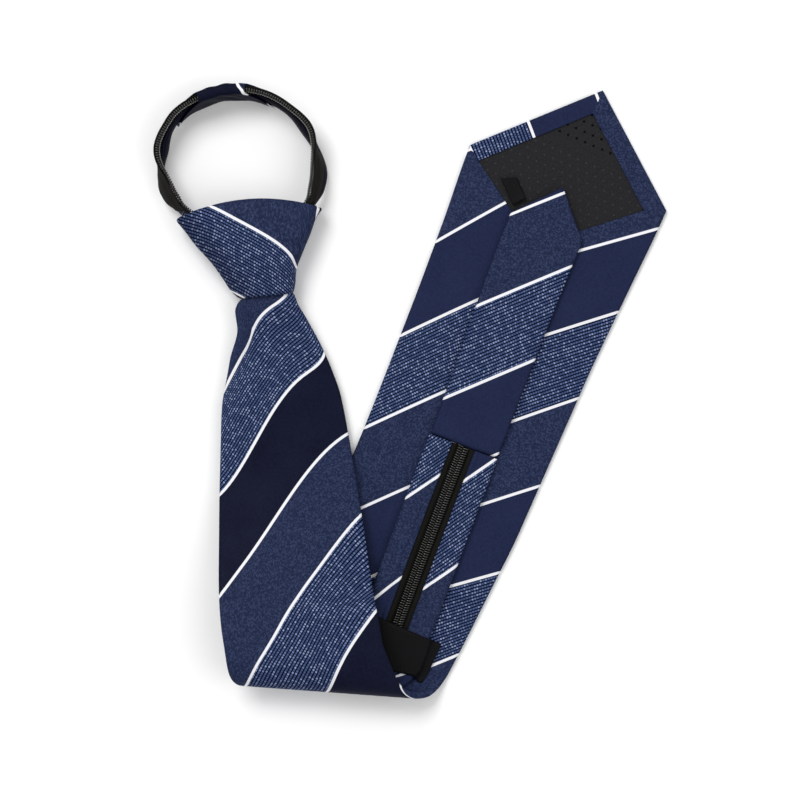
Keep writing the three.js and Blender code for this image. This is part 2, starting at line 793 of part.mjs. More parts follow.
const pieces = [
  ["front_blade", makeBlade(), "navyTexture"],
  ["blade_tipping", makeTipping(), "blackSatin"],
  ["knot_wrap", makeKnot(), "navyTexture"],
  ["tail_blade", makeTailBlade(), "navyTexture"],
  ["keeper_label", makeKeeper(), "blackSatin"],
  ["care_tag", makeTag(), "blackSatin"],
  ["strip_left", makeBand(-1, "strip"), "navyCloth"],
  ["strip_right", makeBand(1, "strip"), "navyCloth"],
  ["tape_left", makeBand(-1, "tape"), "blackTape"],
  ["tape_right", makeBand(1, "tape"), "blackTape"],
  ["coil_left", makeBand(-1, "coil"), "blackNylon"],
  ["coil_right", makeBand(1, "coil"), "blackNylon"],
  ["neck_sleeve", makeSleeve(), "navyCloth"],
  ["zip_slider", makeSlider(), "darkMetal"],
];

// Centred over the origin, resting on the plane z = 0
const tie = new THREE.Group();
const bounds = new THREE.Box3();
for (const [name, geometry, finish] of pieces) {
  const mesh = new THREE.Mesh(geometry, new THREE.MeshStandardMaterial(finishes[finish]));
  mesh.name = name;
  geometry.computeVertexNormals();
  geometry.computeBoundingBox();
  bounds.union(geometry.boundingBox);
  tie.add(mesh);
}
const centre = bounds.getCenter(new THREE.Vector3());
tie.position.set(-centre.x, -centre.y, -bounds.min.z);

export default tie;
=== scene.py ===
import bmesh
import bpy
import numpy as np
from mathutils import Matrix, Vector
from mathutils.bvhtree import BVHTree


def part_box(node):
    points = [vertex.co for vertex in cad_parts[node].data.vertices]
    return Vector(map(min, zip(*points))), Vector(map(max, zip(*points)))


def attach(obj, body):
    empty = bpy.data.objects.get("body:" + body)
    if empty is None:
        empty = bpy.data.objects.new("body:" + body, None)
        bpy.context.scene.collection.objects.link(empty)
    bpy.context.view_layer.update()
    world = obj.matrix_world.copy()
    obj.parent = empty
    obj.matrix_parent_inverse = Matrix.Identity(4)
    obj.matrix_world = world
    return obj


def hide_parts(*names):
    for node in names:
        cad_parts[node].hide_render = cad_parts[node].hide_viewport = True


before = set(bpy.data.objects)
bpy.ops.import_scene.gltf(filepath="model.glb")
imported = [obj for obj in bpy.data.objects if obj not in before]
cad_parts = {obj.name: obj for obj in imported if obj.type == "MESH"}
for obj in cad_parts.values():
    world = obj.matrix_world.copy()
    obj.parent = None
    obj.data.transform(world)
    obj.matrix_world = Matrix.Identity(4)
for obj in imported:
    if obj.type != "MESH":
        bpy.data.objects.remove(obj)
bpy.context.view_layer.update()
print("frame loaded")


# Smooth tables, as in the CAD source: value by place
def curve(points):
    xs, ys = np.array(points, float).T
    slopes = np.diff(ys) / np.diff(xs)
    bends = np.zeros(len(xs))
    for i in range(1, len(xs) - 1):
        if slopes[i - 1] * slopes[i] > 0:
            bends[i] = 2 * slopes[i - 1] * slopes[i] / (slopes[i - 1] + slopes[i])

    def at(x):
        x = np.clip(x, xs[0], xs[-1])
        i = np.clip(np.searchsorted(xs, x, side="right") - 1, 0, len(xs) - 2)
        step = xs[i + 1] - xs[i]
        t = (x - xs[i]) / step
        rise = ys[i] + (ys[i + 1] - ys[i]) * t * t * (3 - 2 * t)
        return rise + t * (1 - t) ** 2 * step * bends[i] + t * t * (t - 1) * step * bends[i + 1]

    return at


def smooth(x, low, high):
    t = np.clip((x - low) / (high - low), 0, 1)
    return t * t * (3 - 2 * t)


def hump(x, middleAt, width):
    return np.exp(-(((x - middleAt) / width) ** 2))


def unit(v):
    return v / np.maximum(np.linalg.norm(v, axis=-1, keepdims=True), 1e-9)


# Sizes that the pieces share, as in the CAD source, in millimetres
size = {
    "gap": 0.3, "bladeThick": 2.6, "baseThick": 1.2, "mouthX": -56.9, "mouthY": 37.6,
    "frontRun": 148.0, "backRun": 251.6, "tipLeft": 41.6, "tipRight": 34.0, "mouthWidth": 22.0,
    "bladeWidth": 82.0, "foldTilt": 4.2, "foldRadius": 9.5, "foldDrift": 4.0, "mouthHeight": 8.5,
    "restHeight": 6.6, "crown": 2.4, "hem": 7.6, "flapOpen": 68.8, "flapMeet": 68.0, "strip": 9.8,
    "stripThick": 3.0, "tapeShow": 2.0, "coil": 2.0, "sliderInset": 12.5,
}
gap, half = size["gap"], size["bladeThick"] / 2
frontRun, foldRadius = size["frontRun"], size["foldRadius"]

heading = curve([
    (-0.1, 8), (0, 8), (0.08, 9.4), (0.17, 8.6), (0.24, 6), (0.32, 4.6), (0.72, 4.6), (0.82, 8.5), (0.9, 15.3), (1, 15.3),
])
frontWidths = [
    (-0.05, -0.17, -0.17), (-0.008, -0.14, -0.14), (0.002, 0, 0), (0.031, 0.076, 0.03), (0.068, 0.078, 0.1),
    (0.152, 0.247, 0.247), (0.223, 0.353, 0.353), (0.283, 0.427, 0.427), (0.388, 0.487, 0.487), (0.544, 0.563, 0.557),
    (0.687, 0.617, 0.607), (0.823, 0.667, 0.64), (0.918, 0.717, 0.627), (1, 0.767, 0.593),
]
backWidths = [
    (-0.06, 0.72, 0.72), (0, 0.72, 0.83), (0.06, 0.72, 0.885), (0.2, 0.73, 0.95), (0.3, 0.735, 0.987),
    (0.56, 0.815, 0.99), (0.7, 0.882, 1.02), (0.86, 0.97, 1.06),
]
frontWide = [curve([(row[0], row[side]) for row in frontWidths]) for side in (1, 2)]
backWide = [curve([(row[0], row[side]) for row in backWidths]) for side in (1, 2)]
foldHeight = half + foldRadius
topHeight = foldHeight + foldRadius
overBack = size["bladeThick"] + 2 * gap + size["stripThick"] + half
overTail = overBack + size["stripThick"] + gap
frontHeight = curve([
    (0, topHeight), (0.09, topHeight - 1.2), (0.36, overTail + 0.4), (0.54, overBack + 0.2),
    (0.7, size["restHeight"]), (0.86, size["restHeight"] + 0.2), (0.97, size["mouthHeight"]), (1.2, size["mouthHeight"]),
])
crownShare = curve([(0, 0), (0.12, 0.3), (0.35, 1), (0.8, 1), (0.93, 0.7), (1, 0)])
tailAside = curve([
    (-0.1, 0), (0.04, 0), (0.14, 3), (0.26, 8.4), (0.34, 12.4), (0.415, 12), (0.47, 10.4), (0.64, 6.3), (0.91, 1),
])
tailSkew = curve([(0.7, 0), (0.92, 1), (1.28, 1), (1.55, 0)])
squeezeAt = curve([(-0.05, 0.28), (0.02, 0.28), (0.2, 0.9), (0.26, 1)])

walkTurns = np.radians(heading((np.arange(int(frontRun)) + 0.5) / frontRun))
walkX = size["mouthX"] + np.concatenate([[0], np.cumsum(np.sin(walkTurns))])
walkY = size["mouthY"] - np.concatenate([[0], np.cumsum(np.cos(walkTurns))])
startTurn, foldTurn, tilt = np.radians(heading(-1.0)), np.radians(heading(1.0)), np.radians(size["foldTilt"])


def middle(s):
    before, after = np.minimum(s, 0), np.maximum(s - frontRun, 0)
    steps = np.arange(len(walkX))
    x = np.interp(s, steps, walkX) + before * np.sin(startTurn) + after * np.sin(foldTurn)
    y = np.interp(s, steps, walkY) - before * np.cos(startTurn) - after * np.cos(foldTurn)
    return x, y, np.radians(heading(s / frontRun))


foldX, foldY, _ = middle(np.array(frontRun))
along = (np.cos(tilt), -np.sin(tilt))
past = (-np.sin(tilt), -np.cos(tilt))
rowSkew = np.tan(foldTurn + tilt)
foldLength = np.pi * foldRadius / np.cos(foldTurn + tilt)
backStart = frontRun + foldLength
tipAt = backStart + size["backRun"]
tipDepth = {-1: size["tipLeft"], 1: size["tipRight"]}


def halfWidth(s, side, wide=None):
    s = np.asarray(s, float)
    left = np.asarray(side) < 0
    depth = np.where(left, size["tipLeft"], size["tipRight"])
    front = np.where(left, frontWide[0](s / frontRun), frontWide[1](s / frontRun))
    part = (s - backStart) / size["backRun"]
    back = np.where(left, backWide[0](part), backWide[1](part)) if wide is None else wide(part)
    share = np.where(s < frontRun, front, front + (back - front) * np.clip((s - frontRun) / foldLength, 0, 1))
    inner, outer = size["mouthWidth"] / 2, size["bladeWidth"] / 2
    corner = inner + (outer - inner) * (np.where(left, *backWidths[-1][1:]) if wide is None else 1)
    point = corner * np.maximum(0, tipAt - s) / depth
    return np.where(s > tipAt - depth, point, inner + (outer - inner) * share)


# Soft folds of the front blade: a dip beside the knot, and slow waves down the cloth
def drape(s, u):
    v = u / np.maximum(halfWidth(np.maximum(s, 0), u), 1)
    dip = -1.6 * hump(v, -0.62 - 0.004 * (s - 18), 0.2) * hump(s, 19, 13)
    ridge = 0.9 * hump(v, -0.9, 0.22) * hump(s, 14, 9)
    fan = 0.5 * np.sin(5.2 * v + 0.9) * hump(s, 12, 14) * smooth(s, 0, 8)
    waves = 0.55 * np.sin(s / 13 + 1.4 * v) * smooth(s, 12, 40) * (1 - smooth(s, 105, 140))
    return (dip + ridge + fan + waves) * smooth(s, 0.5, 6)


def clothPoint(s, u):
    s, u = np.broadcast_arrays(np.asarray(s, float), np.asarray(u, float))
    mx, my, turn = middle(s)
    x = mx + u * np.cos(turn)
    y = my + u * np.sin(turn)
    across = (x - foldX) * along[0] + (y - foldY) * along[1]
    beyond = (x - foldX) * past[0] + (y - foldY) * past[1]
    up = -beyond / frontRun
    wide = np.maximum(halfWidth(np.maximum(s, 0), u), 0.001)
    sink = np.minimum(size["crown"] * crownShare(up) * (u / wide) ** 2, size["crown"])
    frontZ = frontHeight(up) - sink + drape(s, u)
    angle = np.clip(beyond / foldRadius, 0, np.pi)
    reach = foldRadius * np.sin(angle) - (beyond - foldRadius * angle)
    slip = across + size["foldDrift"] * (1 - np.cos(angle)) / 2
    back = [
        foldX + slip * along[0] + reach * past[0], foldY + slip * along[1] + reach * past[1],
        foldHeight + foldRadius * np.cos(angle),
    ]
    flat = beyond <= 0
    return np.stack([np.where(flat, x, back[0]), np.where(flat, y, back[1]), np.where(flat, frontZ, back[2])], -1)


def onBlade(s, u, lift):
    s, u, lift = np.broadcast_arrays(np.asarray(s, float), np.asarray(u, float), np.asarray(lift, float))
    down = clothPoint(s + 0.5, u) - clothPoint(s - 0.5, u)
    right = clothPoint(s, u + 0.5) - clothPoint(s, u - 0.5)
    return clothPoint(s, u) - unit(np.cross(down, right)) * lift[..., None]


def tailMiddle(s):
    return tailAside(s / tipAt)


def besideTail(s, aside):
    slope = tailMiddle(s + 0.5) - tailMiddle(s - 0.5)
    skew = -slope + (rowSkew + slope) * tailSkew(s / frontRun)
    return s + skew * aside, tailMiddle(s) + aside


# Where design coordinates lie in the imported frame, from the slider's place
low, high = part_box("zip_slider")
tailLift = half + gap + size["stripThick"] / 2
slider = onBlade(-size["sliderInset"], 0, tailLift)
shift = np.array([(low[i] + high[i]) * 500 for i in range(3)]) - slider
shift[2] = 0


# Meshes
def gridFaces(rows, columns, wrap=False, start=0):
    across = columns if wrap else columns - 1
    i, j = np.meshgrid(np.arange(rows - 1), np.arange(across), indexing="ij")
    a = start + i * columns + j
    b = start + i * columns + (j + 1) % columns
    return np.stack([a, b, b + columns, a + columns], -1).reshape(-1, 4)


def shellFaces(rows, columns):  # a tube whose last row joins its first
    last = [[(rows - 1) * columns + j, (rows - 1) * columns + (j + 1) % columns, (j + 1) % columns, j] for j in range(columns)]
    return np.concatenate([gridFaces(rows, columns, True), np.array(last)])


def slabFaces(rows, columns):  # an upper and a lower grid, and the rim between them
    count = rows * columns
    grid = gridFaces(rows, columns)
    down, over = [i * columns for i in range(rows)], [count - columns + j for j in range(1, columns)]
    up, back = [i * columns + columns - 1 for i in range(rows - 2, -1, -1)], list(range(columns - 2, 0, -1))
    rim = down + over + up + back
    side = [[a, b, b + count, a + count] for a, b in zip(rim, rim[1:] + rim[:1])]
    return np.concatenate([grid, grid[:, ::-1] + count, np.array(side)])


# How fast the stripes are counted off on the surface: 1 where the cloth isn't stretched
def steepness(points, count, wrap=False):
    down, right = np.gradient(points, axis=0), np.gradient(points, axis=1)
    if wrap:
        right = (np.roll(points, -1, 1) - np.roll(points, 1, 1)) / 2
        countRight = (np.roll(count, -1, 1) - np.roll(count, 1, 1)) / 2
    else:
        countRight = np.gradient(count, axis=1)
    countDown = np.gradient(count, axis=0)
    a, b, c = (down * down).sum(-1), (down * right).sum(-1), (right * right).sum(-1)
    spread = np.maximum(a * c - b * b, 1e-6)
    steep = np.sqrt(np.maximum((c * countDown**2 - 2 * b * countDown * countRight + a * countRight**2) / spread, 0))
    return np.clip(steep / np.sqrt(2), 0.35, 3)


mapScale = 100  # millimetres of cloth to one unit of the map


# light is 1 where the satin faces the light, 0 on the front, and -1 where the cloth lies in the shade
def build(name, points, faces, material, uv=None, weld=False, stands=(), steep=None, light=0):
    mesh = bpy.data.meshes.new(name)
    points = (np.asarray(points).reshape(-1, 3) + shift) / 1000
    mesh.from_pydata(points.tolist(), [], [list(f) for f in faces])
    if uv is not None:
        layer = mesh.uv_layers.new(name="cloth")
        index = np.zeros(len(mesh.loops), np.int32)
        mesh.loops.foreach_get("vertex_index", index)
        flat = np.asarray(uv).reshape(-1, 2)[index] / mapScale
        layer.data.foreach_set("uv", flat.astype(np.float32).ravel())
    if steep is not None:
        layer = mesh.uv_layers.new(name="steep")
        steep, light = np.ravel(steep), np.broadcast_to(light, np.shape(steep)).ravel()
        both = np.stack([steep[index], light[index]], -1)
        layer.data.foreach_set("uv", both.astype(np.float32).ravel())
    if weld:
        tool = bmesh.new()
        tool.from_mesh(mesh)
        bmesh.ops.remove_doubles(tool, verts=tool.verts, dist=2e-6)
        tool.to_mesh(mesh)
        tool.free()
    mesh.polygons.foreach_set("use_smooth", [True] * len(mesh.polygons))
    mesh.materials.append(material)
    mesh.update()
    obj = bpy.data.objects.new(name, mesh)
    bpy.context.scene.collection.objects.link(obj)
    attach(obj, "root")
    if stands:
        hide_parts(*stands)
    return obj


def tube(path, radius, sides, up):
    ahead = unit(np.gradient(path, axis=0))
    side = unit(np.cross(ahead, up))
    top = np.cross(side, ahead)
    turns = np.linspace(0, 2 * np.pi, sides, endpoint=False)
    radius = np.broadcast_to(radius, (len(path),))[:, None, None]
    ring = np.cos(turns)[None, :, None] * side[:, None] + np.sin(turns)[None, :, None] * top[:, None]
    return path[:, None] + radius * ring


# Materials
def linear(*rgb):
    value = np.array(rgb) / 255
    value = np.where(value <= 0.04045, value / 12.92, ((value + 0.055) / 1.055) ** 2.4)
    return (*value.tolist(), 1)


class Graph:
    def __init__(self, name):
        self.material = bpy.data.materials.new(name)
        self.material.use_nodes = True
        self.tree = self.material.node_tree
        self.tree.nodes.clear()
        out = self.tree.nodes.new("ShaderNodeOutputMaterial")
        self.shader = self.tree.nodes.new("ShaderNodeBsdfPrincipled")
        self.tree.links.new(self.shader.outputs[0], out.inputs[0])

    def feed(self, socket, value):
        if isinstance(value, bpy.types.NodeSocket):
            self.tree.links.new(value, socket)
        else:
            socket.default_value = value

    def math(self, kind, *values):
        node = self.tree.nodes.new("ShaderNodeMath")
        node.operation = kind
        for socket, value in zip(node.inputs, values):
            self.feed(socket, value)
        return node.outputs[0]

    def plus(self, a, b):
        return self.math("ADD", a, b)

    def minus(self, a, b):
        return self.math("SUBTRACT", a, b)

    def times(self, a, b):
        return self.math("MULTIPLY", a, b)

    def over(self, a, b):
        return self.math("DIVIDE", a, b)

    def floor(self, a):
        return self.math("FLOOR", a)

    def ramp(self, value, low, high):  # 0 below low, 1 above high, smooth between
        node = self.tree.nodes.new("ShaderNodeMapRange")
        node.interpolation_type = "SMOOTHSTEP"
        self.feed(node.inputs["Value"], value)
        node.inputs["From Min"].default_value = low
        node.inputs["From Max"].default_value = high
        return node.outputs["Result"]

    def mix(self, share, a, b):
        node = self.tree.nodes.new("ShaderNodeMix")
        node.data_type = "RGBA"
        self.feed(node.inputs["Factor"], share)
        self.feed(node.inputs["A"], a)
        self.feed(node.inputs["B"], b)
        return node.outputs["Result"]

    def join(self, x, y):
        node = self.tree.nodes.new("ShaderNodeCombineXYZ")
        for socket, value in zip(node.inputs, (x, y)):
            self.feed(socket, value)
        return node.outputs[0]

    def noise(self, vector, scale, detail):
        node = self.tree.nodes.new("ShaderNodeTexNoise")
        self.feed(node.inputs["Vector"], vector)
        node.inputs["Scale"].default_value = scale
        node.inputs["Detail"].default_value = detail
        return node.outputs["Fac"]

    def arch(self, part):  # 0 at both ends of a cell, 1 in its middle
        return self.times(self.times(part, self.minus(1.0, part)), 4.0)

    def chance(self, value):
        node = self.tree.nodes.new("ShaderNodeTexWhiteNoise")
        node.noise_dimensions = "1D"
        self.feed(node.inputs["W"], value)
        return node.outputs["Value"]

    def cloth(self, name="cloth"):
        uv = self.tree.nodes.new("ShaderNodeUVMap")
        uv.uv_map = name
        parts = self.tree.nodes.new("ShaderNodeSeparateXYZ")
        self.tree.links.new(uv.outputs[0], parts.inputs[0])
        scale = mapScale if name == "cloth" else 1
        return [self.times(parts.outputs[i], scale) for i in (0, 1)]

    def place(self):
        node = self.tree.nodes.new("ShaderNodeTexCoord")
        return node.outputs["Object"]

    def bump(self, height, distance, strength):
        node = self.tree.nodes.new("ShaderNodeBump")
        node.inputs["Strength"].default_value = strength
        node.inputs["Distance"].default_value = distance
        self.feed(node.inputs["Height"], height)
        self.tree.links.new(node.outputs[0], self.shader.inputs["Normal"])

    def finish(self, **values):
        names = {"color": "Base Color", "rough": "Roughness", "spec": "Specular IOR Level"}
        for name, value in values.items():
            self.feed(self.shader.inputs[names[name]], value)
        return self.material


# The striped cloth: c counts millimetres across the bias stripes, as cut, and d along them
stripes = {
    "first": 3.0, "every": 39.6, "line": 0.56, "soft": 0.1, "row": 1.25, "dash": 1.05, "fineRow": 0.5, "fineDash": 0.55,
    "shade": 0.55, "relief": 0.00022,
}
inks = {
    "deep": linear(2, 7, 34), "rib": linear(42, 56, 90), "dash": linear(90, 105, 145), "glint": linear(150, 162, 196),
    "satin": linear(27, 30, 50), "satinDeep": linear(15, 17, 33), "twill": linear(30, 37, 63), "speck": linear(78, 90, 126),
    "litDeep": linear(27, 33, 58), "lit": linear(40, 47, 78), "white": linear(233, 233, 237), "shade": linear(4, 4, 10),
}
bias = np.sqrt(2)  # the stripes are counted along the blade, and cross it at 45 degrees


def stripeCloth():
    g = Graph("stripe_cloth")
    c, d = g.cloth()
    period = g.over(g.minus(c, stripes["first"]), stripes["every"])
    band = g.floor(period)
    part = g.minus(period, band)
    near = g.math("MINIMUM", part, g.minus(1.0, part))
    steep, light = g.cloth("steep")
    away = g.over(g.times(near, stripes["every"] / bias), steep)
    lit, shaded = g.ramp(light, 0.2, 0.8), g.ramp(g.times(light, -1.0), 0.3, 0.9)
    kind = g.math("FLOORED_MODULO", band, 3.0)  # ribbed, satin, speckled, and again
    isRib = g.math("LESS_THAN", kind, 0.5)
    isTwill = g.math("GREATER_THAN", kind, 1.5)
    # rows of small dashes, some of them bright
    alongRow = g.over(d, bias)
    rowAt = g.over(c, stripes["row"] * bias)
    row = g.floor(rowAt)
    arc = g.arch(g.minus(rowAt, row))
    cell = g.plus(g.over(alongRow, stripes["dash"]), g.chance(row))
    cellNumber = g.floor(cell)
    dash = g.times(g.ramp(g.arch(g.minus(cell, cellNumber)), 0.2, 0.9), g.ramp(arc, 0.45, 0.95))
    luck = g.chance(g.plus(g.times(row, 17.13), cellNumber))
    brightDash = g.times(dash, g.plus(0.35, g.times(luck, 0.65)))
    glint = g.times(g.math("POWER", dash, 2.0), g.ramp(luck, 0.5, 1.15))
    # single threads
    fineRow = g.floor(g.over(c, stripes["fineRow"] * bias))
    fineCell = g.floor(g.plus(g.over(alongRow, stripes["fineDash"]), g.chance(fineRow)))
    fine = g.chance(g.plus(g.times(fineRow, 31.7), fineCell))
    threads = g.noise(g.join(c, d), 2.6, 2.0)
    slow = g.noise(g.join(c, d), 0.05, 1.0)
    ribColor = g.mix(g.times(g.ramp(arc, 0.4, 1.0), g.plus(0.5, threads)), inks["deep"], inks["rib"])
    ribColor = g.mix(brightDash, ribColor, inks["dash"])
    ribColor = g.mix(glint, ribColor, inks["glint"])
    satin = g.mix(g.plus(g.times(fine, 0.35), g.times(slow, 0.6)), inks["satinDeep"], inks["satin"])
    litSatin = g.mix(g.plus(g.times(fine, 0.4), g.times(slow, 0.4)), inks["litDeep"], inks["lit"])
    twill = g.mix(g.times(g.times(fine, fine), 0.34), inks["twill"], inks["speck"])
    color = g.mix(isTwill, g.mix(lit, satin, litSatin), twill)
    color = g.mix(isRib, color, ribColor)
    color = g.mix(g.times(shaded, stripes["shade"]), color, inks["shade"])
    line = g.minus(1.0, g.ramp(away, stripes["line"] - stripes["soft"], stripes["line"] + stripes["soft"]))
    color = g.mix(line, color, inks["white"])
    ribHeight = g.times(isRib, g.plus(g.times(arc, 0.6), g.times(brightDash, 0.4)))
    weave = g.times(threads, g.plus(0.12, g.times(isTwill, 0.3)))
    g.bump(g.plus(g.times(line, 0.5), g.plus(ribHeight, weave)), stripes["relief"], 0.8)
    rough = g.plus(0.4, g.plus(g.times(isRib, 0.12), g.times(isTwill, 0.12)))
    return g.finish(color=color, rough=rough, spec=0.01)


dots = {"step": 3.7, "size": 0.07, "soft": 0.06, "larger": 0.05, "darkFrom": 14.0, "darkTo": 24.0}


def liningCloth():
    g = Graph("black_lining")
    c, d = g.cloth()
    x, y = g.over(c, dots["step"]), g.over(d, dots["step"])
    x = g.plus(x, g.times(g.math("FLOORED_MODULO", g.floor(y), 2.0), 0.5))
    dx = g.minus(g.math("FRACT", x), 0.5)
    dy = g.minus(g.math("FRACT", y), 0.5)
    away = g.math("SQRT", g.plus(g.times(dx, dx), g.times(dy, dy)))
    toTip = g.ramp(d, dots["darkFrom"], dots["darkTo"])  # the dots turn dark and larger there
    away = g.minus(away, g.times(toTip, dots["larger"]))
    dot = g.minus(1.0, g.ramp(away, dots["size"], dots["size"] + dots["soft"]))
    twill = g.noise(g.join(g.times(g.plus(c, d), 2.4), g.times(g.minus(c, d), 0.7)), 1.0, 1.0)
    ground = g.mix(g.ramp(twill, 0.3, 0.7), linear(29, 29, 31), linear(39, 39, 41))
    # painted sheen: the dots are light grey away from the tip, and black near it
    dotColor = g.mix(toTip, linear(68, 68, 71), linear(3, 3, 4))
    strength = g.times(dot, g.plus(0.32, g.times(toTip, 0.68)))
    g.bump(g.plus(g.times(dot, 0.6), g.times(twill, 0.3)), 0.00012, 0.6)
    return g.finish(color=g.mix(strength, ground, dotColor), rough=0.62, spec=0.05)


weaves = {"tapeRib": 0.7, "tapeCross": 0.62, "weft": 0.45, "warp": 0.6, "slant": 4.0}


def wave(g, place, length):
    return g.math("SINE", g.times(place, 2 * np.pi / length))


def tapeCloth():
    g = Graph("zip_tape")
    c, d = g.cloth()
    knit = g.times(wave(g, d, weaves["tapeRib"]), wave(g, c, weaves["tapeCross"]))
    g.bump(knit, 0.00012, 0.8)
    color = g.mix(g.ramp(knit, -0.6, 0.9), linear(7, 7, 6), linear(38, 37, 33))
    return g.finish(color=color, rough=0.72, spec=0.06)


def satinRibbon():
    g = Graph("black_satin")
    c, d = g.cloth()
    warp = g.math("SINE", g.plus(g.times(c, 2 * np.pi / weaves["warp"]), g.times(d, weaves["slant"])))
    weave = g.times(g.plus(wave(g, d, weaves["weft"]), warp), 0.5)
    g.bump(weave, 0.00006, 0.6)
    color = g.mix(g.ramp(weave, -0.7, 0.8), linear(5, 5, 7), linear(15, 15, 17))
    return g.finish(color=color, rough=0.5, spec=0.08)


def nylon():
    g = Graph("zip_nylon")
    fine = g.noise(g.place(), 900.0, 1.0)
    color = g.mix(fine, linear(5, 5, 4), linear(22, 21, 18))
    return g.finish(color=color, rough=0.22, spec=0.75)


def thread(name, dark, light):
    g = Graph(name)
    return g.finish(color=g.mix(g.noise(g.place(), 2500.0, 1.0), dark, light), rough=0.6, spec=0.1)


cloth = stripeCloth()
lining = liningCloth()
tape = tapeCloth()
ribbon = satinRibbon()
coil = nylon()
# painted glints: the bright beige of the beads along each coil in the loop
glintThread = thread("zip_glint_thread", linear(168, 162, 140), linear(240, 236, 214))
whiteThread = thread("white_thread", linear(226, 226, 232), linear(236, 236, 240))
print("materials made")

# Where the white lines cross the cloth: stripe, then its place along the blade at shares of the half width
across = [-1, -0.75, -0.5, 0, 0.5, 1]
frontLines = {
    3.0: [36.3, 22, 11.3, 5.9, 2, -1.5],
    42.6: [78, 70, 60, 41.3, 32.5, 25.4],
    82.2: [116.8, 108.8, 100.2, 81, 66.2, 57.3],
    121.8: [154.6, 145.5, 136.8, 120.8, 103.8, 89.8],
    161.4: [194, 186, 177.5, 161.5, 146.3, 133.7],
}
flapLines = {  # at the edge, and at a quarter of the half width
    -1: {201.0: [221.6, 252.2], 240.6: [263.5, 295.1], 280.2: [303.5, 336.6], 319.8: [344.1, 384.1], 359.4: [386, 423]},
    1: {
        240.6: [198.8, 170], 280.2: [235.3, 212.3], 319.8: [273.6, 248], 359.4: [313, 285.1], 399.0: [351.5, 324.5],
        438.6: [388, 362.7],
    },
}
flapSpan = 0.75  # from the edge to the quarter
frontFits = [np.polyfit(across, row, 4) for row in frontLines.values()]
edgeAhead = {-1: 15.5, 1: 7.6}  # how far the stripes run ahead of the straight bias, on the back
underFold = (165, 215)  # where the front's stripes turn into the plain bias of the underside

# The width that the tables' shares are of
lineWide = curve([(-0.06, 0.8), (0, 0.81), (0.1, 0.84), (0.36, 0.9), (0.84, 1)])


def byLines(s, places, counts):  # stripe count at s, from where each line crosses there
    first, last = places[0], places[-1]
    count = np.where(s < first, counts[0] + (s - first), counts[-1] + (s - last))
    for k in range(len(counts) - 1):
        inside = (s >= places[k]) & (s < places[k + 1])
        share = (s - places[k]) / np.maximum(places[k + 1] - places[k], 1)
        count = np.where(inside, counts[k] + share * (counts[k + 1] - counts[k]), count)
    return count


def aheadAt(v):
    return edgeAhead[-1] + (edgeAhead[1] - edgeAhead[-1]) * (np.clip(v, -1, 1) + 1) / 2


def frontStripe(s, u):
    v = u / np.maximum(halfWidth(np.clip(s, 0, tipAt - 1), u, lineWide), 1)
    places = [np.polyval(line, np.clip(v, -1.05, 1.05)) for line in frontFits]
    count = byLines(s, places, list(frontLines))
    return count + (aheadAt(v) + s + u - count) * smooth(s, *underFold)


def flapStripe(s, u, side):
    rows = flapLines[side]
    v = np.abs(u) / np.maximum(halfWidth(s, side, lineWide), 1)
    places = [edge + (inner - edge) * (1 - v) / flapSpan for edge, inner in rows.values()]
    return byLines(s, places, list(rows))


def hemStripe(s, u, side):
    corner = np.array([tipAt - tipDepth[side], side * cornerHalf[side]])
    way = np.array([tipAt, 0.0]) - corner
    way /= np.linalg.norm(way)
    rel = np.stack([s - corner[0], u - corner[1]], -1)
    foot = (rel @ way)[..., None] * way
    out = corner + 2 * foot - rel
    return out[..., 0] + out[..., 1] + aheadAt(out[..., 1] / (size["bladeWidth"] / 2))


# Front blade: the front cloth, its flaps folded to the back, and the hems of the point
blade = {
    "top": 24, "round": 9, "bottom": 26, "mouthRows": 30, "flapRows": 190, "cornerRows": 22, "hemRows": 34,
    "seam": 0.12, "puff": 0.25, "puffFrom": 20, "pointInset": 3, "inner": ((-0.9, 0.02), (-0.15, 0.0), (0.0, 0.012)),
}
meetAt = tipAt - size["flapMeet"]
cornerHalf = {side: float(halfWidth(tipAt - tipDepth[side], side)) for side in (-1, 1)}
pointTurn = {side: np.arctan(cornerHalf[side] / tipDepth[side]) for side in (-1, 1)}
hemTop = tipAt - size["hem"] / np.sin((pointTurn[-1] + pointTurn[1]) / 2)
openHalf = size["flapOpen"] / 2
liningCorner = {side: np.array([hemTop - openHalf / np.tan(pointTurn[side]), side * openHalf]) for side in (-1, 1)}


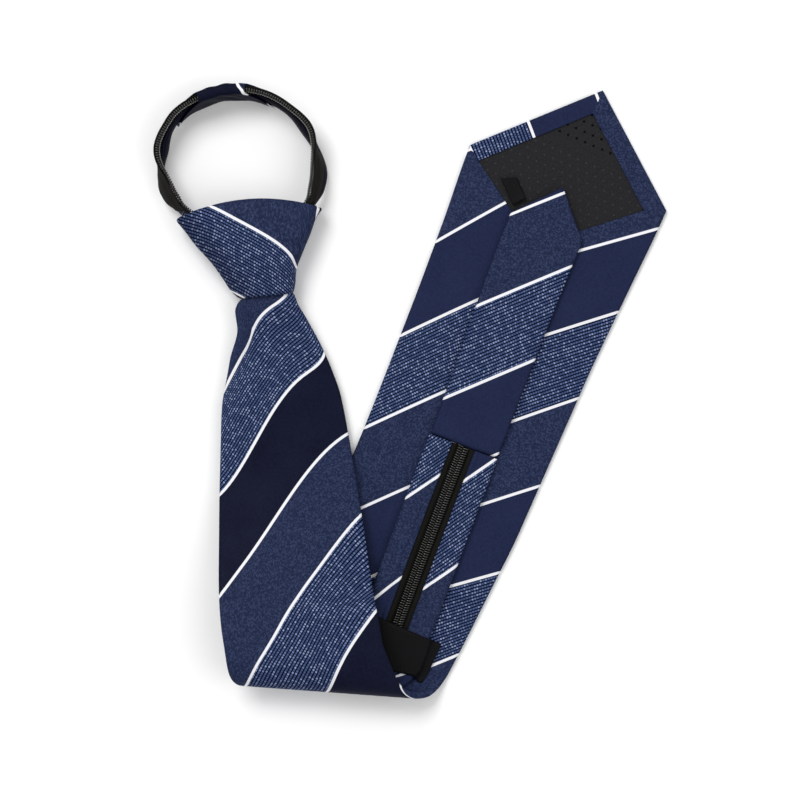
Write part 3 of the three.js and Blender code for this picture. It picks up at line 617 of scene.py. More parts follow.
def bladeHalf(side):
    corner = tipAt - tipDepth[side]
    mouth = np.arange(-7, blade["mouthRows"], 1.0)
    body = np.linspace(blade["mouthRows"], meetAt, blade["flapRows"])
    flap = np.concatenate([mouth, body, np.linspace(meetAt, corner, blade["cornerRows"])[1:]])
    rows = np.concatenate([flap, np.linspace(corner, tipAt, blade["hemRows"])])
    isHem = np.arange(len(rows)) >= len(flap)
    outer = np.stack([rows, side * halfWidth(rows, side)], -1)
    t = np.clip((rows - meetAt) / (corner - meetAt), 0, 1)[:, None]
    start = np.array([meetAt, side * blade["seam"]])
    inner = start + (liningCorner[side] - start) * t
    inner[rows < meetAt, 0] = rows[rows < meetAt]
    along = ((rows - corner) / (tipAt - corner))[:, None]
    hemInner = liningCorner[side] + (np.array([hemTop, 0]) - liningCorner[side]) * along
    inner = np.where(isHem[:, None], hemInner, inner)
    middleRow = np.where(isHem, corner + (tipAt - blade["pointInset"] - corner) * along[:, 0], rows)
    centre = np.stack([middleRow, np.zeros(len(rows))], -1)
    toInner, toCentre = unit(inner - outer), unit(centre - outer)
    places, lifts = [], []
    width = np.linalg.norm(inner - outer, axis=-1)
    for depth, w in blade["inner"]:  # the flap's inner edge
        places.append(inner + (outer - inner) * w)
        lifts.append(np.full(len(rows), half + depth))
    for w in np.linspace(0.03, 1, blade["top"]):
        places.append(inner + (outer + toInner * half - inner) * w)
        lifts.append(half + blade["puff"] * np.sin(np.pi * w) * np.minimum(1, width / blade["puffFrom"]))
    turns = np.linspace(np.pi / 2, -np.pi / 2, blade["round"])[1:]
    for k, turn in enumerate(turns):
        blend = (k + 1) / len(turns)
        way = unit(toInner * (1 - blend) + toCentre * blend)
        places.append(outer + way * half * (1 - np.cos(turn)))
        lifts.append(np.full(len(rows), half * np.sin(turn)))
    for w in np.linspace(0, 1, blade["bottom"])[1:]:
        start = outer + toCentre * half
        places.append(start + (centre - start) * w)
        lifts.append(np.full(len(rows), -half))
    places, lifts = np.stack(places, 1), np.stack(lifts, 1)
    s, u = places[..., 0], places[..., 1]
    topCount = len(blade["inner"]) + blade["top"]
    back = np.where(isHem[:, None], hemStripe(s, u, side), flapStripe(s, u, side))
    front = frontStripe(s, u)
    rim = (np.arange(len(turns)) + 1) / len(turns)
    onBack = smooth(rows, frontRun, backStart)[:, None]  # the cloth of the side in view goes on round the rim
    early, late = smooth(rim, 0, 0.45)[None], smooth(rim, 0.6, 1)[None]
    ones = np.ones((len(rows), 1))
    rimShare = early + (late - early) * onBack
    share = np.concatenate([ones * np.zeros(topCount), rimShare, ones * np.ones(blade["bottom"] - 1)], 1)
    c = back + (front - back) * share
    topU = np.where(isHem[:, None], u, side * (2 * halfWidth(s, side) - np.abs(u)))
    d = s - (topU + (u - topU) * share)
    points = onBlade(s, u, lifts)
    # painted light: the satin on the back, which faces the light, takes the lit colours
    return points, np.stack([c, d], -1), steepness(points, c), (1 - share) * smooth(s, frontRun, backStart)


def makeBlade():
    points, uv, faces, steep, light, count = [], [], [], [], [], 0
    for side in (-1, 1):
        place, spot, steepHere, lightHere = bladeHalf(side)
        rows, columns = place.shape[:2]
        grid = gridFaces(rows, columns, start=count)
        faces.append(grid[:, ::-1] if side > 0 else grid)
        points.append(place.reshape(-1, 3))
        uv.append(spot.reshape(-1, 2))
        steep.append(steepHere.ravel())
        light.append(lightHere.ravel())
        count += rows * columns
    points, faces, uv, steep, light = [np.concatenate(part) for part in (points, faces, uv, steep, light)]
    return build("blade_cloth", points, faces, cloth, uv, True, ["front_blade"], steep, light)


bladeCloth = makeBlade()
print("blade made")


# Tipping: the lining that shows between the hems and the flaps
backing = {"rows": 30, "columns": 40, "tuck": 6, "wider": 1.02, "rise": 0.45, "ripple": 0.12, "waves": (7, 9), "dotsFrom": 22}


def makeTipping():
    t = np.linspace(0, 1, backing["rows"])[:, None]
    top, bottom = np.array([hemTop, 0.0]), np.array([meetAt - backing["tuck"], 0.0])
    edges = []
    for side in (-1, 1):
        corner = liningCorner[side] * [1, backing["wider"]]
        edges.append(np.where(t < 0.5, top + (corner - top) * t * 2, corner + (bottom - corner) * (t * 2 - 1)))
    w = np.linspace(0, 1, backing["columns"])[None, :, None]
    flat = edges[0][:, None] + (edges[1][:, None] - edges[0][:, None]) * w
    s, u = flat[..., 0], flat[..., 1]
    ripple = backing["ripple"] * np.sin(s / backing["waves"][0]) * np.sin(u / backing["waves"][1])
    points = onBlade(s, u, size["baseThick"] - half + gap + backing["rise"] + ripple)
    uv = np.stack([u, s - meetAt - backing["dotsFrom"]], -1)
    faces = gridFaces(backing["rows"], backing["columns"])
    return build("tipping_cloth", points, faces, lining, uv, stands=["blade_tipping"])


tipping = makeTipping()


# Tail blade: a small folded envelope with a pointed end, lying face up
tail = {
    "start": 98.6, "length": 93.6, "tip": 17.2, "bottom": 28.4, "top": 31.0, "thick": 2.6,
    "rows": 70, "tipRows": 16, "over": 22, "turn": 9, "under": 12, "puff": 0.25, "blunt": 0.3, "countFrom": 468,
}


def makeTailBlade():
    start = backStart + tail["start"]
    corner = start + tail["length"]
    tip = corner + tail["tip"]
    point = np.linspace(corner, tip - tail["blunt"], tail["tipRows"])
    rows = np.concatenate([np.linspace(start, corner, tail["rows"]), point[1:]])
    body = tail["bottom"] + (tail["top"] - tail["bottom"]) * (rows - start) / tail["length"]
    width = np.where(rows > corner, tail["top"] * (tip - rows) / tail["tip"], body) / 2
    h = tail["thick"] / 2
    base = half + gap + h
    r = np.minimum(h, width)
    one = np.ones(len(rows))
    turns = np.linspace(np.pi / 2, -np.pi / 2, tail["turn"])[1:-1]
    aside, lift = [], []
    for w in np.linspace(-1, 1, tail["over"]):
        aside.append(w * (width - r))
        lift.append(h + tail["puff"] * (1 - w * w) * one)
    for turn in turns:
        aside.append(width - r + r * np.cos(turn))
        lift.append(h * np.sin(turn) * one)
    for w in np.linspace(1, -1, tail["under"]):
        aside.append(w * (width - r))
        lift.append(-h * one)
    for turn in -turns:
        aside.append(-(width - r) - r * np.cos(turn))
        lift.append(h * np.sin(turn) * one)
    aside, lift = np.stack(aside, 1), np.stack(lift, 1)
    # rounded ends
    first, last = smooth(rows, start - 0.1, start + 1.2)[:, None], 1 - smooth(rows, tip - 1.5, tip)[:, None]
    lift = lift * (0.25 + 0.75 * np.sqrt(first)) * (0.2 + 0.8 * np.sqrt(last))
    s, u = besideTail(rows[:, None] + 0 * aside, aside)
    points = onBlade(s, u, base + lift)
    uv = np.stack([tail["countFrom"] - s + aside, s + aside], -1)
    rowsCount, columns = aside.shape
    faces = list(gridFaces(rowsCount, columns, True))
    faces += [list(range(columns))[::-1], [(rowsCount - 1) * columns + j for j in range(columns)]]
    steep = steepness(points, uv[..., 0], True)
    return build("tail_cloth", points, faces, cloth, uv, stands=["tail_blade"], steep=steep, light=1)


tailCloth = makeTailBlade()


# The zip band: two strips of cloth, each with a tape and a coil, from the tail through the knot to the loop
loop = {
    "x": -68.0, "y": 93.0, "radius": 32.0, "join": 104.0, "leftEntry": 222.0, "rightEntry": -33.0, "knotWall": 1.6,
    "flare": 1.7, "leftDent": 0.8, "rightSwell": 0.5, "rows": 70, "knotRows": 26,
}
stripFrom = size["coil"] + gap + size["tapeShow"] + gap
bandWidth = stripFrom + size["strip"]
loopShape = curve([
    (-36, 1.0), (-14.8, 0.998), (-1.7, 0.975), (15.7, 0.921), (38, 0.87), (60, 0.838), (87, 0.815), (107, 0.828),
    (126, 0.87), (138.5, 0.92), (149, 0.958), (167, 0.986), (181, 0.994), (197, 0.98), (207, 0.952), (226, 0.89),
])
leanAt = curve([(0, -12), (0.08, -24), (0.14, -24), (0.42, 12), (0.57, 5), (1, 5)])
liftAt = curve([(0, loop["knotWall"] + 2.2), (0.06, loop["knotWall"] + 1.8), (0.24, 0), (0.34, 0), (0.54, 1.6), (1, 1.6)])
loopSqueeze = curve([(0, 0.55), (0.08, 0.72), (0.3, 1), (1, 1)])


def loopStation(angle, share):
    turn, lean = np.radians(angle), np.radians(leanAt(share))
    outward = np.stack([np.cos(turn), np.sin(turn), 0 * turn], -1)
    squeeze = loopSqueeze(share)
    wide = -outward * np.sin(lean)[..., None]
    wide[..., 2] = -np.cos(lean)
    width = stripFrom + size["strip"] * squeeze
    stand = bandWidth / 2 * np.cos(lean) + size["stripThick"] / 2 * np.abs(np.sin(lean))
    radius = loop["radius"] * loopShape(angle) + loop["flare"] * (1 - smooth(share, 0, 0.28))
    radius = radius - loop["leftDent"] * hump(angle, 165, 38) + loop["rightSwell"] * hump(angle, 18, 22)
    height = liftAt(share) + stand * width / bandWidth + gap / 2
    centre = np.stack([loop["x"] + radius * np.cos(turn), loop["y"] + radius * np.sin(turn), height], -1)
    return centre - wide * width[..., None] / 2, wide, squeeze


def bandStations(side):
    flat, turned = np.linspace(backStart + tail["start"] - gap, backStart, 60), np.linspace(backStart, frontRun, 30)
    tailS = np.concatenate([flat, turned[1:], np.linspace(frontRun, 0, 75)[1:], [-2, -4, -8, -12.5, -17]])
    squeeze = squeezeAt(tailS / frontRun)
    inner = np.where(np.arange(len(tailS)) + 1 < len(tailS), gap / 2, 0.9)
    edge = onBlade(*besideTail(tailS, side * inner), tailLift)
    far = onBlade(*besideTail(tailS, side * (inner + stripFrom + size["strip"] * squeeze)), tailLift)
    wide = unit(far - edge)
    entry = loop["leftEntry"] if side < 0 else loop["rightEntry"]
    end = loop["join"] - side * np.degrees(0.4 / loop["radius"])
    share = np.linspace(0, 1, loop["rows"])
    loopEdge, loopWide, loopSq = loopStation(entry + (end - entry) * share, share)
    chord = np.linalg.norm(loopEdge[0] - edge[-1])
    leave = unit(edge[-1] - edge[-2]) * chord * 0.9
    arrive = unit(loopEdge[1] - loopEdge[0]) * chord * 0.9
    t = np.linspace(0, 1, loop["knotRows"])[1:-1, None]
    a, b, k = 1 - 3 * t**2 + 2 * t**3, t - 2 * t**2 + t**3, t**3 - t**2
    knotEdge = edge[-1] * a + leave * b + loopEdge[0] * (1 - a) + arrive * k
    knotWide = unit(wide[-1] + (loopWide[0] - wide[-1]) * (t * t * (3 - 2 * t)))
    knotSq = squeeze[-1] + (loopSq[0] - squeeze[-1]) * t[:, 0]
    edge = np.concatenate([edge, knotEdge, loopEdge])
    wide = np.concatenate([wide, knotWide, loopWide])
    squeeze = np.concatenate([squeeze, knotSq, loopSq])
    step = np.linalg.norm(np.diff(edge, axis=0), axis=-1)
    travel = np.concatenate([[0], np.cumsum(step)])
    ahead = np.gradient(edge, axis=0)
    normal = unit(np.cross(ahead, wide))
    count = np.concatenate([tailS, tailS[-1] - (travel[len(tailS):] - travel[len(tailS) - 1])])
    return {
        "edge": edge, "wide": wide, "normal": normal, "ahead": unit(ahead), "squeeze": squeeze, "travel": travel,
        "count": count, "side": side,
    }


words = {-1: "left", 1: "right"}
bands = {side: bandStations(side) for side in words}
closedTo = int(np.argmin(np.abs(bands[1]["count"])))  # both halves of the closed zip share one pitch
bothTravel = (bands[-1]["travel"] + bands[1]["travel"]) / 2
for band in bands.values():
    rest = bothTravel[closedTo] + band["travel"] - band["travel"][closedTo]
    row, first = np.arange(len(rest)), len(rest) - loop["rows"]  # the first row of the loop
    band["pitchAt"] = np.where(row <= closedTo, bothTravel, rest)
    band["inLoop"] = smooth(row, first - 2, first + 1)
    band["share"] = np.clip((row - first) / (loop["rows"] - 1), 0, 1)


def bandPoint(band, out, up):
    width = np.where(out <= stripFrom, out, stripFrom + (out - stripFrom) * band["squeeze"][:, None])
    return band["edge"][:, None] + band["wide"][:, None] * width[..., None] + band["normal"][:, None] * up[..., None]


# Profile of the folded strip, out from the tape's side: place across and half thickness, with a stitched groove
stripProfile = [
    (0, 0.4), (0.12, 0.95), (0.45, 1.25), (1.2, 1.32), (1.75, 1.2), (2.1, 0.92), (2.4, 0.92), (2.75, 1.2), (3.5, 1.42),
    (5.5, 1.5), (7.6, 1.48), (8.7, 1.3), (9.35, 0.9), (9.7, 0.45), (9.8, 0),
]
stripCount = {
    -1: {"at": 256.8, "count": 121.8, "aside": -10, "lean": 1.4, "rate": 0.912},
    1: {"at": 271, "count": 161.4, "aside": 9, "lean": 1.45, "rate": 0.86},
}
plainFrom = {"count": 62, "lean": 0.5}  # in the loop the strips show no line


def stripStripe(band, out):
    side = band["side"]
    rule = stripCount[side]
    aside = side * (out + gap / 2)
    count = rule["count"] + (band["count"][:, None] - rule["at"] - rule["lean"] * (aside - rule["aside"])) * rule["rate"]
    plain = plainFrom["count"] + plainFrom["lean"] * aside
    return count + (plain - count) * band["inLoop"][:, None]


def makeStrip(side, name):
    band = bands[side]
    mouth = [(3.0, -0.3), (3.0, 0.3)]  # the fold's two layers, from within
    outline = stripProfile + [(x, -y) for x, y in stripProfile[-2::-1]] + mouth
    out = np.broadcast_to(np.array([stripFrom + x for x, _ in outline]), (len(band["edge"]), len(outline)))
    up = np.broadcast_to(np.array([y for _, y in outline]), out.shape)
    points = bandPoint(band, out, up)
    c = stripStripe(band, out)
    d = band["count"][:, None] + side * out
    faces, uv, steep = gridFaces(*out.shape, True), np.stack([c, d], -1), steepness(points, c, True)
    # painted light on the strips' satin outside the loop, and painted shade over them in the loop
    light = 1 - 2 * band["inLoop"][:, None] + 0 * c
    return build(name, points, faces, cloth, uv, stands=[f"strip_{words[side]}"], steep=steep, light=light)


# The tape's profile across, where it lies beside its strip and where it lies over it
tapePath = np.array([(-0.15, -0.95), (1.0, -0.97), (2.1, -0.9), (2.7, -0.4), (3.4, 0), (5.2, 0), (7.6, 0)])
tapeOver = np.array([(-0.15, -0.95), (1.0, -1.0), (2.4, -1.2), (3.6, -1.72), (5.2, -1.82), (6.6, -1.84), (7.6, -1.8)])


tapeAtKnot = {-1: {"from": 0.27, "to": 0.36, "wider": 1.32}, 1: {"from": 0.2, "to": 0.36, "wider": 1.0}}
tapeHalf = 0.2


def makeTape(side, name):
    band = bands[side]
    rule = tapeAtKnot[side]
    over = (band["inLoop"] * (1 - smooth(band["share"], rule["from"], rule["to"])))[:, None]
    wide = tapeOver * [rule["wider"], 1]
    out = tapePath[None, :, 0] + (wide[:, 0] - tapePath[:, 0])[None] * over
    up = (tapePath[None, :, 1] + (wide[:, 1] - tapePath[:, 1])[None] * over) * side
    thick = tapeHalf * side
    out, up = np.concatenate([out, out[:, ::-1]], 1), np.concatenate([up + thick, up[:, ::-1] - thick], 1)
    uv = np.stack([out, band["travel"][:, None] + 0 * out], -1)
    faces = gridFaces(*out.shape, True)
    return build(name, bandPoint(band, out, up), faces, tape, uv, stands=[f"tape_{words[side]}"])


# The nylon coil: a wound wire whose heads reach just past the zip's middle
turnPath = np.array([  # out, up, share of the pitch, thickness
    (1.95, 0.66, 0.0, 0.29), (1.2, 0.86, 0.1, 0.3), (0.4, 0.8, 0.18, 0.32), (-0.05, 0.5, 0.22, 0.36),
    (-0.16, 0.12, 0.25, 0.36), (-0.05, -0.25, 0.28, 0.34), (0.4, -0.48, 0.32, 0.28), (1.2, -0.52, 0.4, 0.26),
    (1.95, -0.42, 0.5, 0.26), (2.15, 0.1, 0.75, 0.27),
])
pitch = 1.0
wireSides = 6


def alongBand(band, place):
    def at(key):
        return np.stack([np.interp(place, band["pitchAt"], band[key][:, i]) for i in range(3)], -1)

    return at("edge"), unit(at("wide")), unit(at("normal")), unit(at("ahead"))


def makeCoil(side, name):
    band = bands[side]
    turns = int(band["pitchAt"][-1] / pitch) - 1
    offset = 0.0 if side < 0 else pitch / 2
    place = ((np.arange(turns)[:, None] + turnPath[None, :, 2]) * pitch + offset).ravel()
    edge, wide, normal, ahead = alongBand(band, place)
    out, up = np.tile(turnPath[:, 0], turns), np.tile(turnPath[:, 1], turns) * side
    path = edge + wide * out[:, None] + normal * up[:, None]
    rings = tube(path, np.tile(turnPath[:, 3], turns), wireSides, ahead)
    faces = gridFaces(len(path), wireSides, True)
    return build(name, rings, faces, coil, stands=[f"coil_{words[side]}"])


# Beads shaped as the chain thread that holds each coil to its tape, one between two turns, coloured bright beige:
# painted glints on the coil's heads
stitch = {"phase": 0.55, "out": 1.35, "up": 0.98, "reach": (0.36, 0.21, 0.24)}
glintStitchCorners = np.array([
    (1, 0, 0), (0.5, 0.85, 0), (-0.5, 0.85, 0), (-1, 0, 0), (-0.5, -0.85, 0), (0.5, -0.85, 0), (0, 0, 1), (0, 0, -1),
])


def makeGlintStitches(side, name):
    band = bands[side]
    count = int(band["pitchAt"][-1] / pitch) - 2
    place = (np.arange(count) + stitch["phase"]) * pitch + (0.0 if side < 0 else pitch / 2)
    place = place[np.interp(place, band["pitchAt"], band["share"]) > 0.02]  # in the loop alone
    edge, wide, normal, ahead = alongBand(band, place)
    centre = edge + wide * stitch["out"] + normal * stitch["up"] * side
    points = centre[:, None] + sum(
        glintStitchCorners[None, :, i, None] * stitch["reach"][i] * axis[:, None] for i, axis in enumerate((wide, ahead, normal))
    )
    faces = [[a, (a + 1) % 6, 6] for a in range(6)] + [[(a + 1) % 6, a, 7] for a in range(6)]
    every = (np.array(faces)[None] + 8 * np.arange(len(place))[:, None, None]).reshape(-1, 3)
    return build(name, points, every, glintThread)


for side, word in words.items():
    bands[side]["strip"] = makeStrip(side, f"strip_cloth_{word}")
    bands[side]["tape"] = makeTape(side, f"zip_tape_{word}")
    bands[side]["coil"] = makeCoil(side, f"zip_coil_{word}")
    bands[side]["stitches"] = makeGlintStitches(side, f"zip_stitches_{word}")
print("bands made")


# Knot: the wound cloth, a soft shell with rolled lips, with the stripes of its front running down to the right
knot = {
    "height": 37.0, "half": 28.5, "thick": 18.0, "turn": 10.0, "wall": 1.3, "columns": 120, "rows": 64, "power": 3.0,
}
knotRows = [
    (0.02, -0.02, 0.38, 0.38, 0, 0.69), (0.12, 0.1, 0.475, 0.435, 0.01, 0.77), (0.26, 0.22, 0.555, 0.475, 0.02, 0.88),
    (0.44, 0.38, 0.665, 0.595, 0.05, 0.96), (0.67, 0.58, 0.85, 0.76, 0.08, 1), (0.84, 0.74, 0.96, 0.88, 0.1, 1),
    (0.96, 0.82, 1.045, 0.975, 0.12, 0.97), (0.99, 0.845, 1.025, 0.955, 0.135, 0.93),
]
mainLine = curve([  # the white line across the knot's face: y by x
    (-102, 83), (-93, 78), (-79.8, 73.4), (-66.4, 66.6), (-56, 60.8), (-50, 56.6), (-46.6, 53), (-45, 49.4),
    (-42.8, 44), (-36, 24),
])

sideLine = curve([(60, -41), (66, -38.2), (68.2, -37.2), (69.8, -36.7), (72.2, -36.5), (73.8, -37.3), (75, -38.9), (76.5, -43)])


def makeKnot():
    turn = np.radians(knot["turn"])
    up = np.array([-np.sin(turn), np.cos(turn)])
    right = np.array([up[1], -up[0]])
    table = np.array(knotRows)
    place = np.linspace(0, 7, len(table))
    columns = [curve(list(zip(place, table[:, k]))) for k in range(6)]
    t = np.linspace(0, 7, knot["rows"])
    left, rightRise, leftOut, rightOut, arch, thick = [col(t)[:, None] for col in columns]
    angles = np.linspace(0, 2 * np.pi, knot["columns"], endpoint=False)[None]
    c0, s0 = np.cos(angles), np.sin(angles)
    scale = (np.abs(c0) ** knot["power"] + np.abs(s0) ** knot["power"]) ** (-1 / knot["power"])
    c, s = c0 * scale, s0 * scale

    def ring(inset):
        tall = knot["thick"] / 2 * thick
        out = np.where(c < 0, leftOut, rightOut) * knot["half"] - inset
        rise = left + (rightRise - left) * (c + 1) / 2 + arch * (1 - c * c)
        x = size["mouthX"] + up[0] * rise * knot["height"] + right[0] * c * out
        y = size["mouthY"] + up[1] * rise * knot["height"] + right[1] * c * out
        z = tall + s * (tall - inset)
        return np.stack([x, y, z + 0 * x], -1)

    lip = np.minimum(t, 7 - t)[:, None]  # rows from the nearest mouth
    roll = 1.4 * (1 - np.sqrt(np.clip(lip / 0.5, 0, 1))) ** 1.2
    outer = ring(0)
    inward = unit(ring(1.0) - ring(0))
    face = smooth(outer[..., 2], 9, 13)
    below = outer[..., 1] - mainLine(outer[..., 0])
    crease = 0.5 * np.sin(below / 4.2 + 0.6) * smooth(-below, 2, 10) * smooth(outer[..., 0], -70, -52) * face
    swell = 0.5 * hump(below, -9, 9) * face
    outer = outer + inward * (roll + crease * 0.35 - swell)[..., None]
    inner = ring(knot["wall"]) + unit(ring(2.0) - ring(0)) * (roll * 0.3)[..., None]
    points = np.concatenate([outer, inner[::-1]], 0)
    faces = shellFaces(len(points), knot["columns"])
    x, y = points[..., 0], points[..., 1]
    drop = mainLine(x) - y
    count = 3 + np.where(drop > 0, drop * 39.6 / 29.4, drop * 0.8)
    # painted shade: darker cloth behind the shoulder line and along the knot's left edge
    shadeBehind = (sideLine(y) - x < -0.3) & (y > 67) & (x > -45)
    shaded = 1 - smooth((x + 92.8) * 0.786 + (y - 68.2) * 0.617, 3, 16)  # the knot's left edge turns from the light
    steep = steepness(points, count, True)
    uv = np.stack([count, x * 1.3 - y * 0.3], -1)
    light = -np.maximum(shadeBehind, 0.64 * shaded)
    return build("knot_cloth", points, faces, cloth, uv, False, ["knot_wrap"], steep, light)


knotCloth = makeKnot()


# The white line of the knot's right shoulder, woven in where its cloth turns back
def makeShoulderLine():
    tool = bmesh.new()
    tool.from_mesh(knotCloth.data)
    tree = BVHTree.FromBMesh(tool)
    y = np.linspace(67.4, 75.6, 26)
    path = np.stack([sideLine(y), y], -1)
    ahead = unit(np.gradient(path, axis=0))
    beside = np.stack([ahead[:, 1], -ahead[:, 0]], -1)
    rows = []
    for w in (-0.4, -0.13, 0.13, 0.4):
        spots = path + beside * w * np.sin(np.linspace(0.25, 2.9, 26))[:, None] + shift[:2]
        hits = [tree.ray_cast(Vector((x / 1000, yy / 1000, 0.05)), Vector((0, 0, -1)))[0] for x, yy in spots]
        heights = [hit.z if hit else 0.011 for hit in hits]
        level = np.polyval(np.polyfit(y, heights, 2), y)  # even, where the knot's side is steep
        for (x, yy), z, out in zip(spots, level, beside):
            place = tree.find_nearest(Vector((x / 1000, yy / 1000, z)))[0] * 1000
            rows.append((place.x + 0.12 * out[0], place.y + 0.12 * out[1], place.z + 0.08))
    tool.free()
    points = np.array(rows).reshape(4, 26, 3) - shift
    return build("knot_line", points, gridFaces(4, 26)[:, ::-1], whiteThread)


shoulderLine = makeShoulderLine()


# Neck sleeve: a short cloth tube over the ends of both bands
sleeve = {"wall": 1.0, "top": 40.0, "bottom": 96.0}


def makeSleeve():
    rows = 50
    room = gap + sleeve["wall"]
    outline = []
    low, high, wide = -room, bandWidth + room, size["stripThick"] / 2 + room
    bend = 1.8
    spots = (
        (high - bend, wide - bend, 0), (low + bend, wide - bend, 90), (low + bend, bend - wide, 180),
        (high - bend, bend - wide, 270),
    )
    for k, (ca, cb, start) in enumerate(spots):
        for turn in np.radians(start + np.linspace(0, 90, 6)):
            outline.append((ca + bend * np.cos(turn), cb + bend * np.sin(turn)))
        if k in (0, 2):  # points across the wide faces, since the ends are cut at a slant
            other = spots[k + 1][0]
            outline += [(ca + (other - ca) * w, outline[-1][1]) for w in np.linspace(0, 1, 9)[1:-1]]
    outline = np.array(outline)
    share = np.linspace(0, 1, rows)[:, None]
    def ring(inset):
        out = outline[:, 0] - inset * np.sign(outline[:, 0] - bandWidth / 2)
        up = outline[:, 1] - inset * np.sign(outline[:, 1])
        span = sleeve["top"] + (sleeve["bottom"] - sleeve["top"]) * np.clip(out / bandWidth, 0, 1)
        angle = loop["join"] + (share - 0.5) * span[None]
        one = np.ones_like(angle)
        edge, wide, _ = loopStation(angle, one)
        ahead = loopStation(angle + 1, one)[0] - loopStation(angle - 1, one)[0]
        normal = unit(np.cross(ahead, wide))
        return edge + wide * out[None, :, None] + normal * up[None, :, None]
    outer, inner = ring(0.5), ring(sleeve["wall"])
    ease = (0.25 * np.sin(share * 19 + outline[None, :, 0] * 0.5) * np.sin(np.pi * share))[..., None]
    outer = outer + unit(outer - inner) * ease
    points = np.concatenate([outer, inner[::-1]], 0)
    faces = shellFaces(len(points), len(outline))
    shares = np.concatenate([share, share[::-1]], 0)
    span = sleeve["top"] + (sleeve["bottom"] - sleeve["top"]) * np.clip(outline[:, 0] / bandWidth, 0, 1)
    angle = loop["join"] + (shares - 0.5) * span[None]
    lineAt = curve([(-20, 108), (-2.8, 90.8), (2.8, 83.9), (5, 74), (8, 68.2), (12, 63), (18, 57)])
    round = np.where(outline[:, 0] < 0, outline[:, 1], np.sign(outline[:, 1]) * (2.8 + outline[:, 0]))
    count = 82.2 - (angle - lineAt(round[None])) * 0.4256
    uv = np.stack([count + 0 * points[..., 0], outline[None, :, 0] * 1.4 + 0 * points[..., 0]], -1)
    steep = steepness(points, uv[..., 0], True)
    # painted shade over the whole sleeve
    return build("sleeve_cloth", points, faces, cloth, uv, False, ["neck_sleeve"], steep, -0.6)


sleeveCloth = makeSleeve()


# Keeper label: a ribbon over the zip band, sewn down at both ends
keeper = {"width": 57.0, "height": 18.7, "start": 3.6, "shift": 1.3}


def makeKeeper():
    seat = half + gap
    over = seat + size["stripThick"] + 2 * gap
    tailHalf = size["coil"] + size["tapeShow"] + 2 * gap + size["strip"] + gap / 2
    low = backStart + keeper["start"]
    rows, columns = 28, 90
    s = np.linspace(low, low + keeper["height"], rows)[:, None]
    u = np.linspace(keeper["shift"] - keeper["width"] / 2, keeper["shift"] + keeper["width"] / 2, columns)[None]
    centre = tailMiddle(s)
    left, right = centre - tailHalf, centre + tailHalf  # the band's edges
    rise = smooth(u, left - 2.6, left + 0.6) * (1 - smooth(u, right - 0.6, right + 1.6))
    lift = seat + (over - seat) * rise + 0.15 * np.sin(u / 3.1) * rise * np.sin((s - low) / 6)
    s, u = np.broadcast_arrays(s, u)
    edge = np.minimum.reduce([s - low, low + keeper["height"] - s])
    thick = 0.7 * (0.35 + 0.65 * np.sqrt(np.clip(edge / 0.8, 0, 1)))
    top = onBlade(s, u, lift + thick + 0.1)
    under = onBlade(s, u, lift + 0.05)
    count = rows * columns
    faces = np.concatenate([gridFaces(rows, columns), gridFaces(rows, columns)[:, ::-1] + count])
    rim = [i * columns for i in range(rows)] + [(rows - 1) * columns + j for j in range(1, columns)] + [i * columns + columns - 1 for i in range(rows - 2, -1, -1)] + list(range(columns - 2, 0, -1))
    side = [[a, b, b + count, a + count] for a, b in zip(rim, rim[1:] + rim[:1])]
    uv = np.stack([u, s], -1)
    return build("label_cloth", np.concatenate([top.reshape(-1, 3), under.reshape(-1, 3)]), np.concatenate([faces, np.array(side)]), ribbon, np.concatenate([uv.reshape(-1, 2)] * 2), False, ["keeper_label"])


labelCloth = makeKeeper()



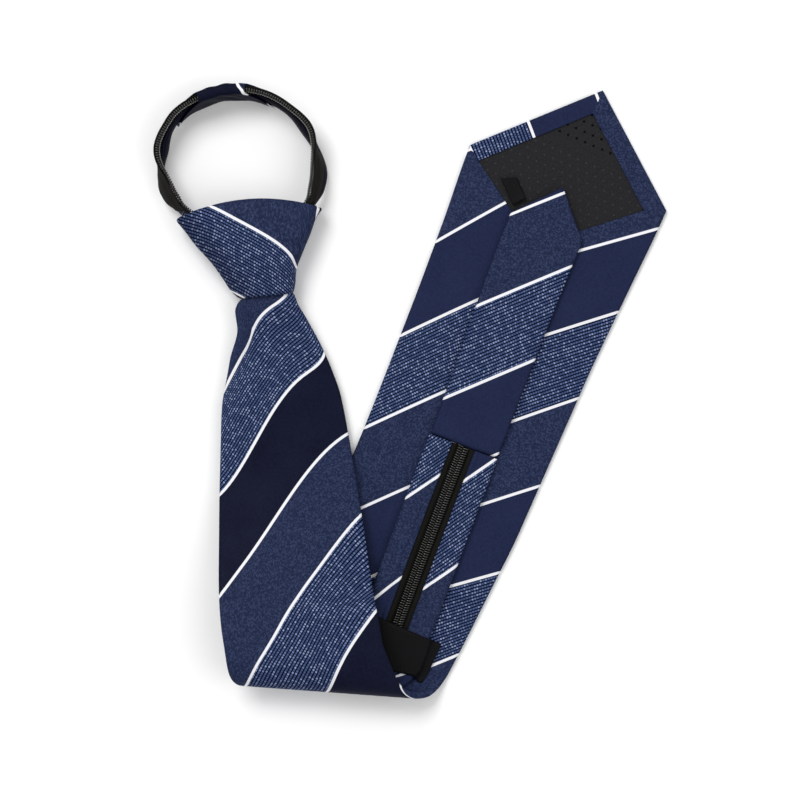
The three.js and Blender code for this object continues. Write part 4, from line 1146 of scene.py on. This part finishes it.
# Care tag: a small loop of satin ribbon, sewn in at the tipping's corner
def makeTag():
    low, high = [np.array(corner) * 1000 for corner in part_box("care_tag")]
    corners = np.array([(501, 178), (517, 177), (513, 205), (526, 198)], float)  # in the photograph
    flat = (corners - [409, 390.5]) * [0.4, -0.4] + shift[:2]
    v, w = np.linspace(0, 1, 14)[:, None, None], np.linspace(0, 1, 10)[None, :, None]
    spot = (flat[0] * (1 - w) + flat[1] * w) * (1 - v) + (flat[2] * (1 - w) + flat[3] * w) * v
    curl = 0.12 * np.sin(3 * v[..., 0] + 4 * w[..., 0]) + 0.25 * smooth(v[..., 0], 0.75, 1)
    layers = []
    for z in (high[2] + 0.05, low[2] + 0.1):
        layers.append(np.concatenate([spot, (z + curl)[..., None]], -1).reshape(-1, 3))
    count = len(layers[0])
    top = gridFaces(14, 10)
    rim = [i * 10 for i in range(14)] + [130 + j for j in range(1, 10)] + [i * 10 + 9 for i in range(12, -1, -1)] + list(range(8, 0, -1))
    side = np.array([[a, b, b + count, a + count] for a, b in zip(rim, rim[1:] + rim[:1])])
    faces = np.concatenate([top[:, ::-1], top + count, side[:, ::-1]])
    uv = np.stack(np.broadcast_arrays(w[..., 0] * 7, v[..., 0] * 11), -1).reshape(-1, 2)
    return build("tag_cloth", np.concatenate(layers) - shift, faces, ribbon, np.concatenate([uv, uv]), False, ["care_tag"])


tagCloth = makeTag()
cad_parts["zip_slider"].data.materials.clear()
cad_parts["zip_slider"].data.materials.append(coil)
print("pieces made")

# The front blade's widths, summed at each millimetre of its length
widthSum = float(np.sum(halfWidth(np.arange(0, tipAt, 1.0), -1) + halfWidth(np.arange(0, tipAt, 1.0), 1)))

# Stage
def makeStage():
    mesh = bpy.data.meshes.new("floor")
    w = 3.0
    mesh.from_pydata([(-w, -w, 0), (w, -w, 0), (w, w, 0), (-w, w, 0)], [], [(0, 1, 2, 3)])
    g = Graph("floor_white")
    mesh.materials.append(g.finish(color=(0.95, 0.95, 0.95, 1), rough=0.9, spec=0.05))
    floor = bpy.data.objects.new("floor", mesh)
    bpy.context.scene.collection.objects.link(floor)
    world = bpy.data.worlds.new("world")
    bpy.context.scene.world = world
    world.use_nodes = True
    world.node_tree.nodes["Background"].inputs[0].default_value = (1, 1, 1, 1)
    world.node_tree.nodes["Background"].inputs[1].default_value = 0.64
    for name, place, power, width in (("key", (-0.55, 0.75, 1.3), 14, 0.7), ("fill", (0.9, -0.3, 1.2), 4, 1.0)):
        light = bpy.data.lights.new(name, "AREA")
        light.energy, light.size = power, width
        lamp = bpy.data.objects.new(name, light)
        lamp.location = place
        lamp.rotation_euler = (Vector((0, 0, 0)) - Vector(place)).to_track_quat("-Z", "Y").to_euler()
        bpy.context.scene.collection.objects.link(lamp)
    camera = bpy.data.cameras.new("camera")
    camera.lens, camera.sensor_width = 135, 36
    view = bpy.data.objects.new("camera", camera)
    centreX, centreY = (400 - 409) * 0.4 + shift[0], (390.5 - 400) * 0.4 + shift[1]
    view.location = (centreX / 1000, centreY / 1000, 1.205)
    bpy.context.scene.collection.objects.link(view)
    bpy.context.scene.camera = view
    bpy.context.scene.view_settings.view_transform = "Standard"


makeStage()
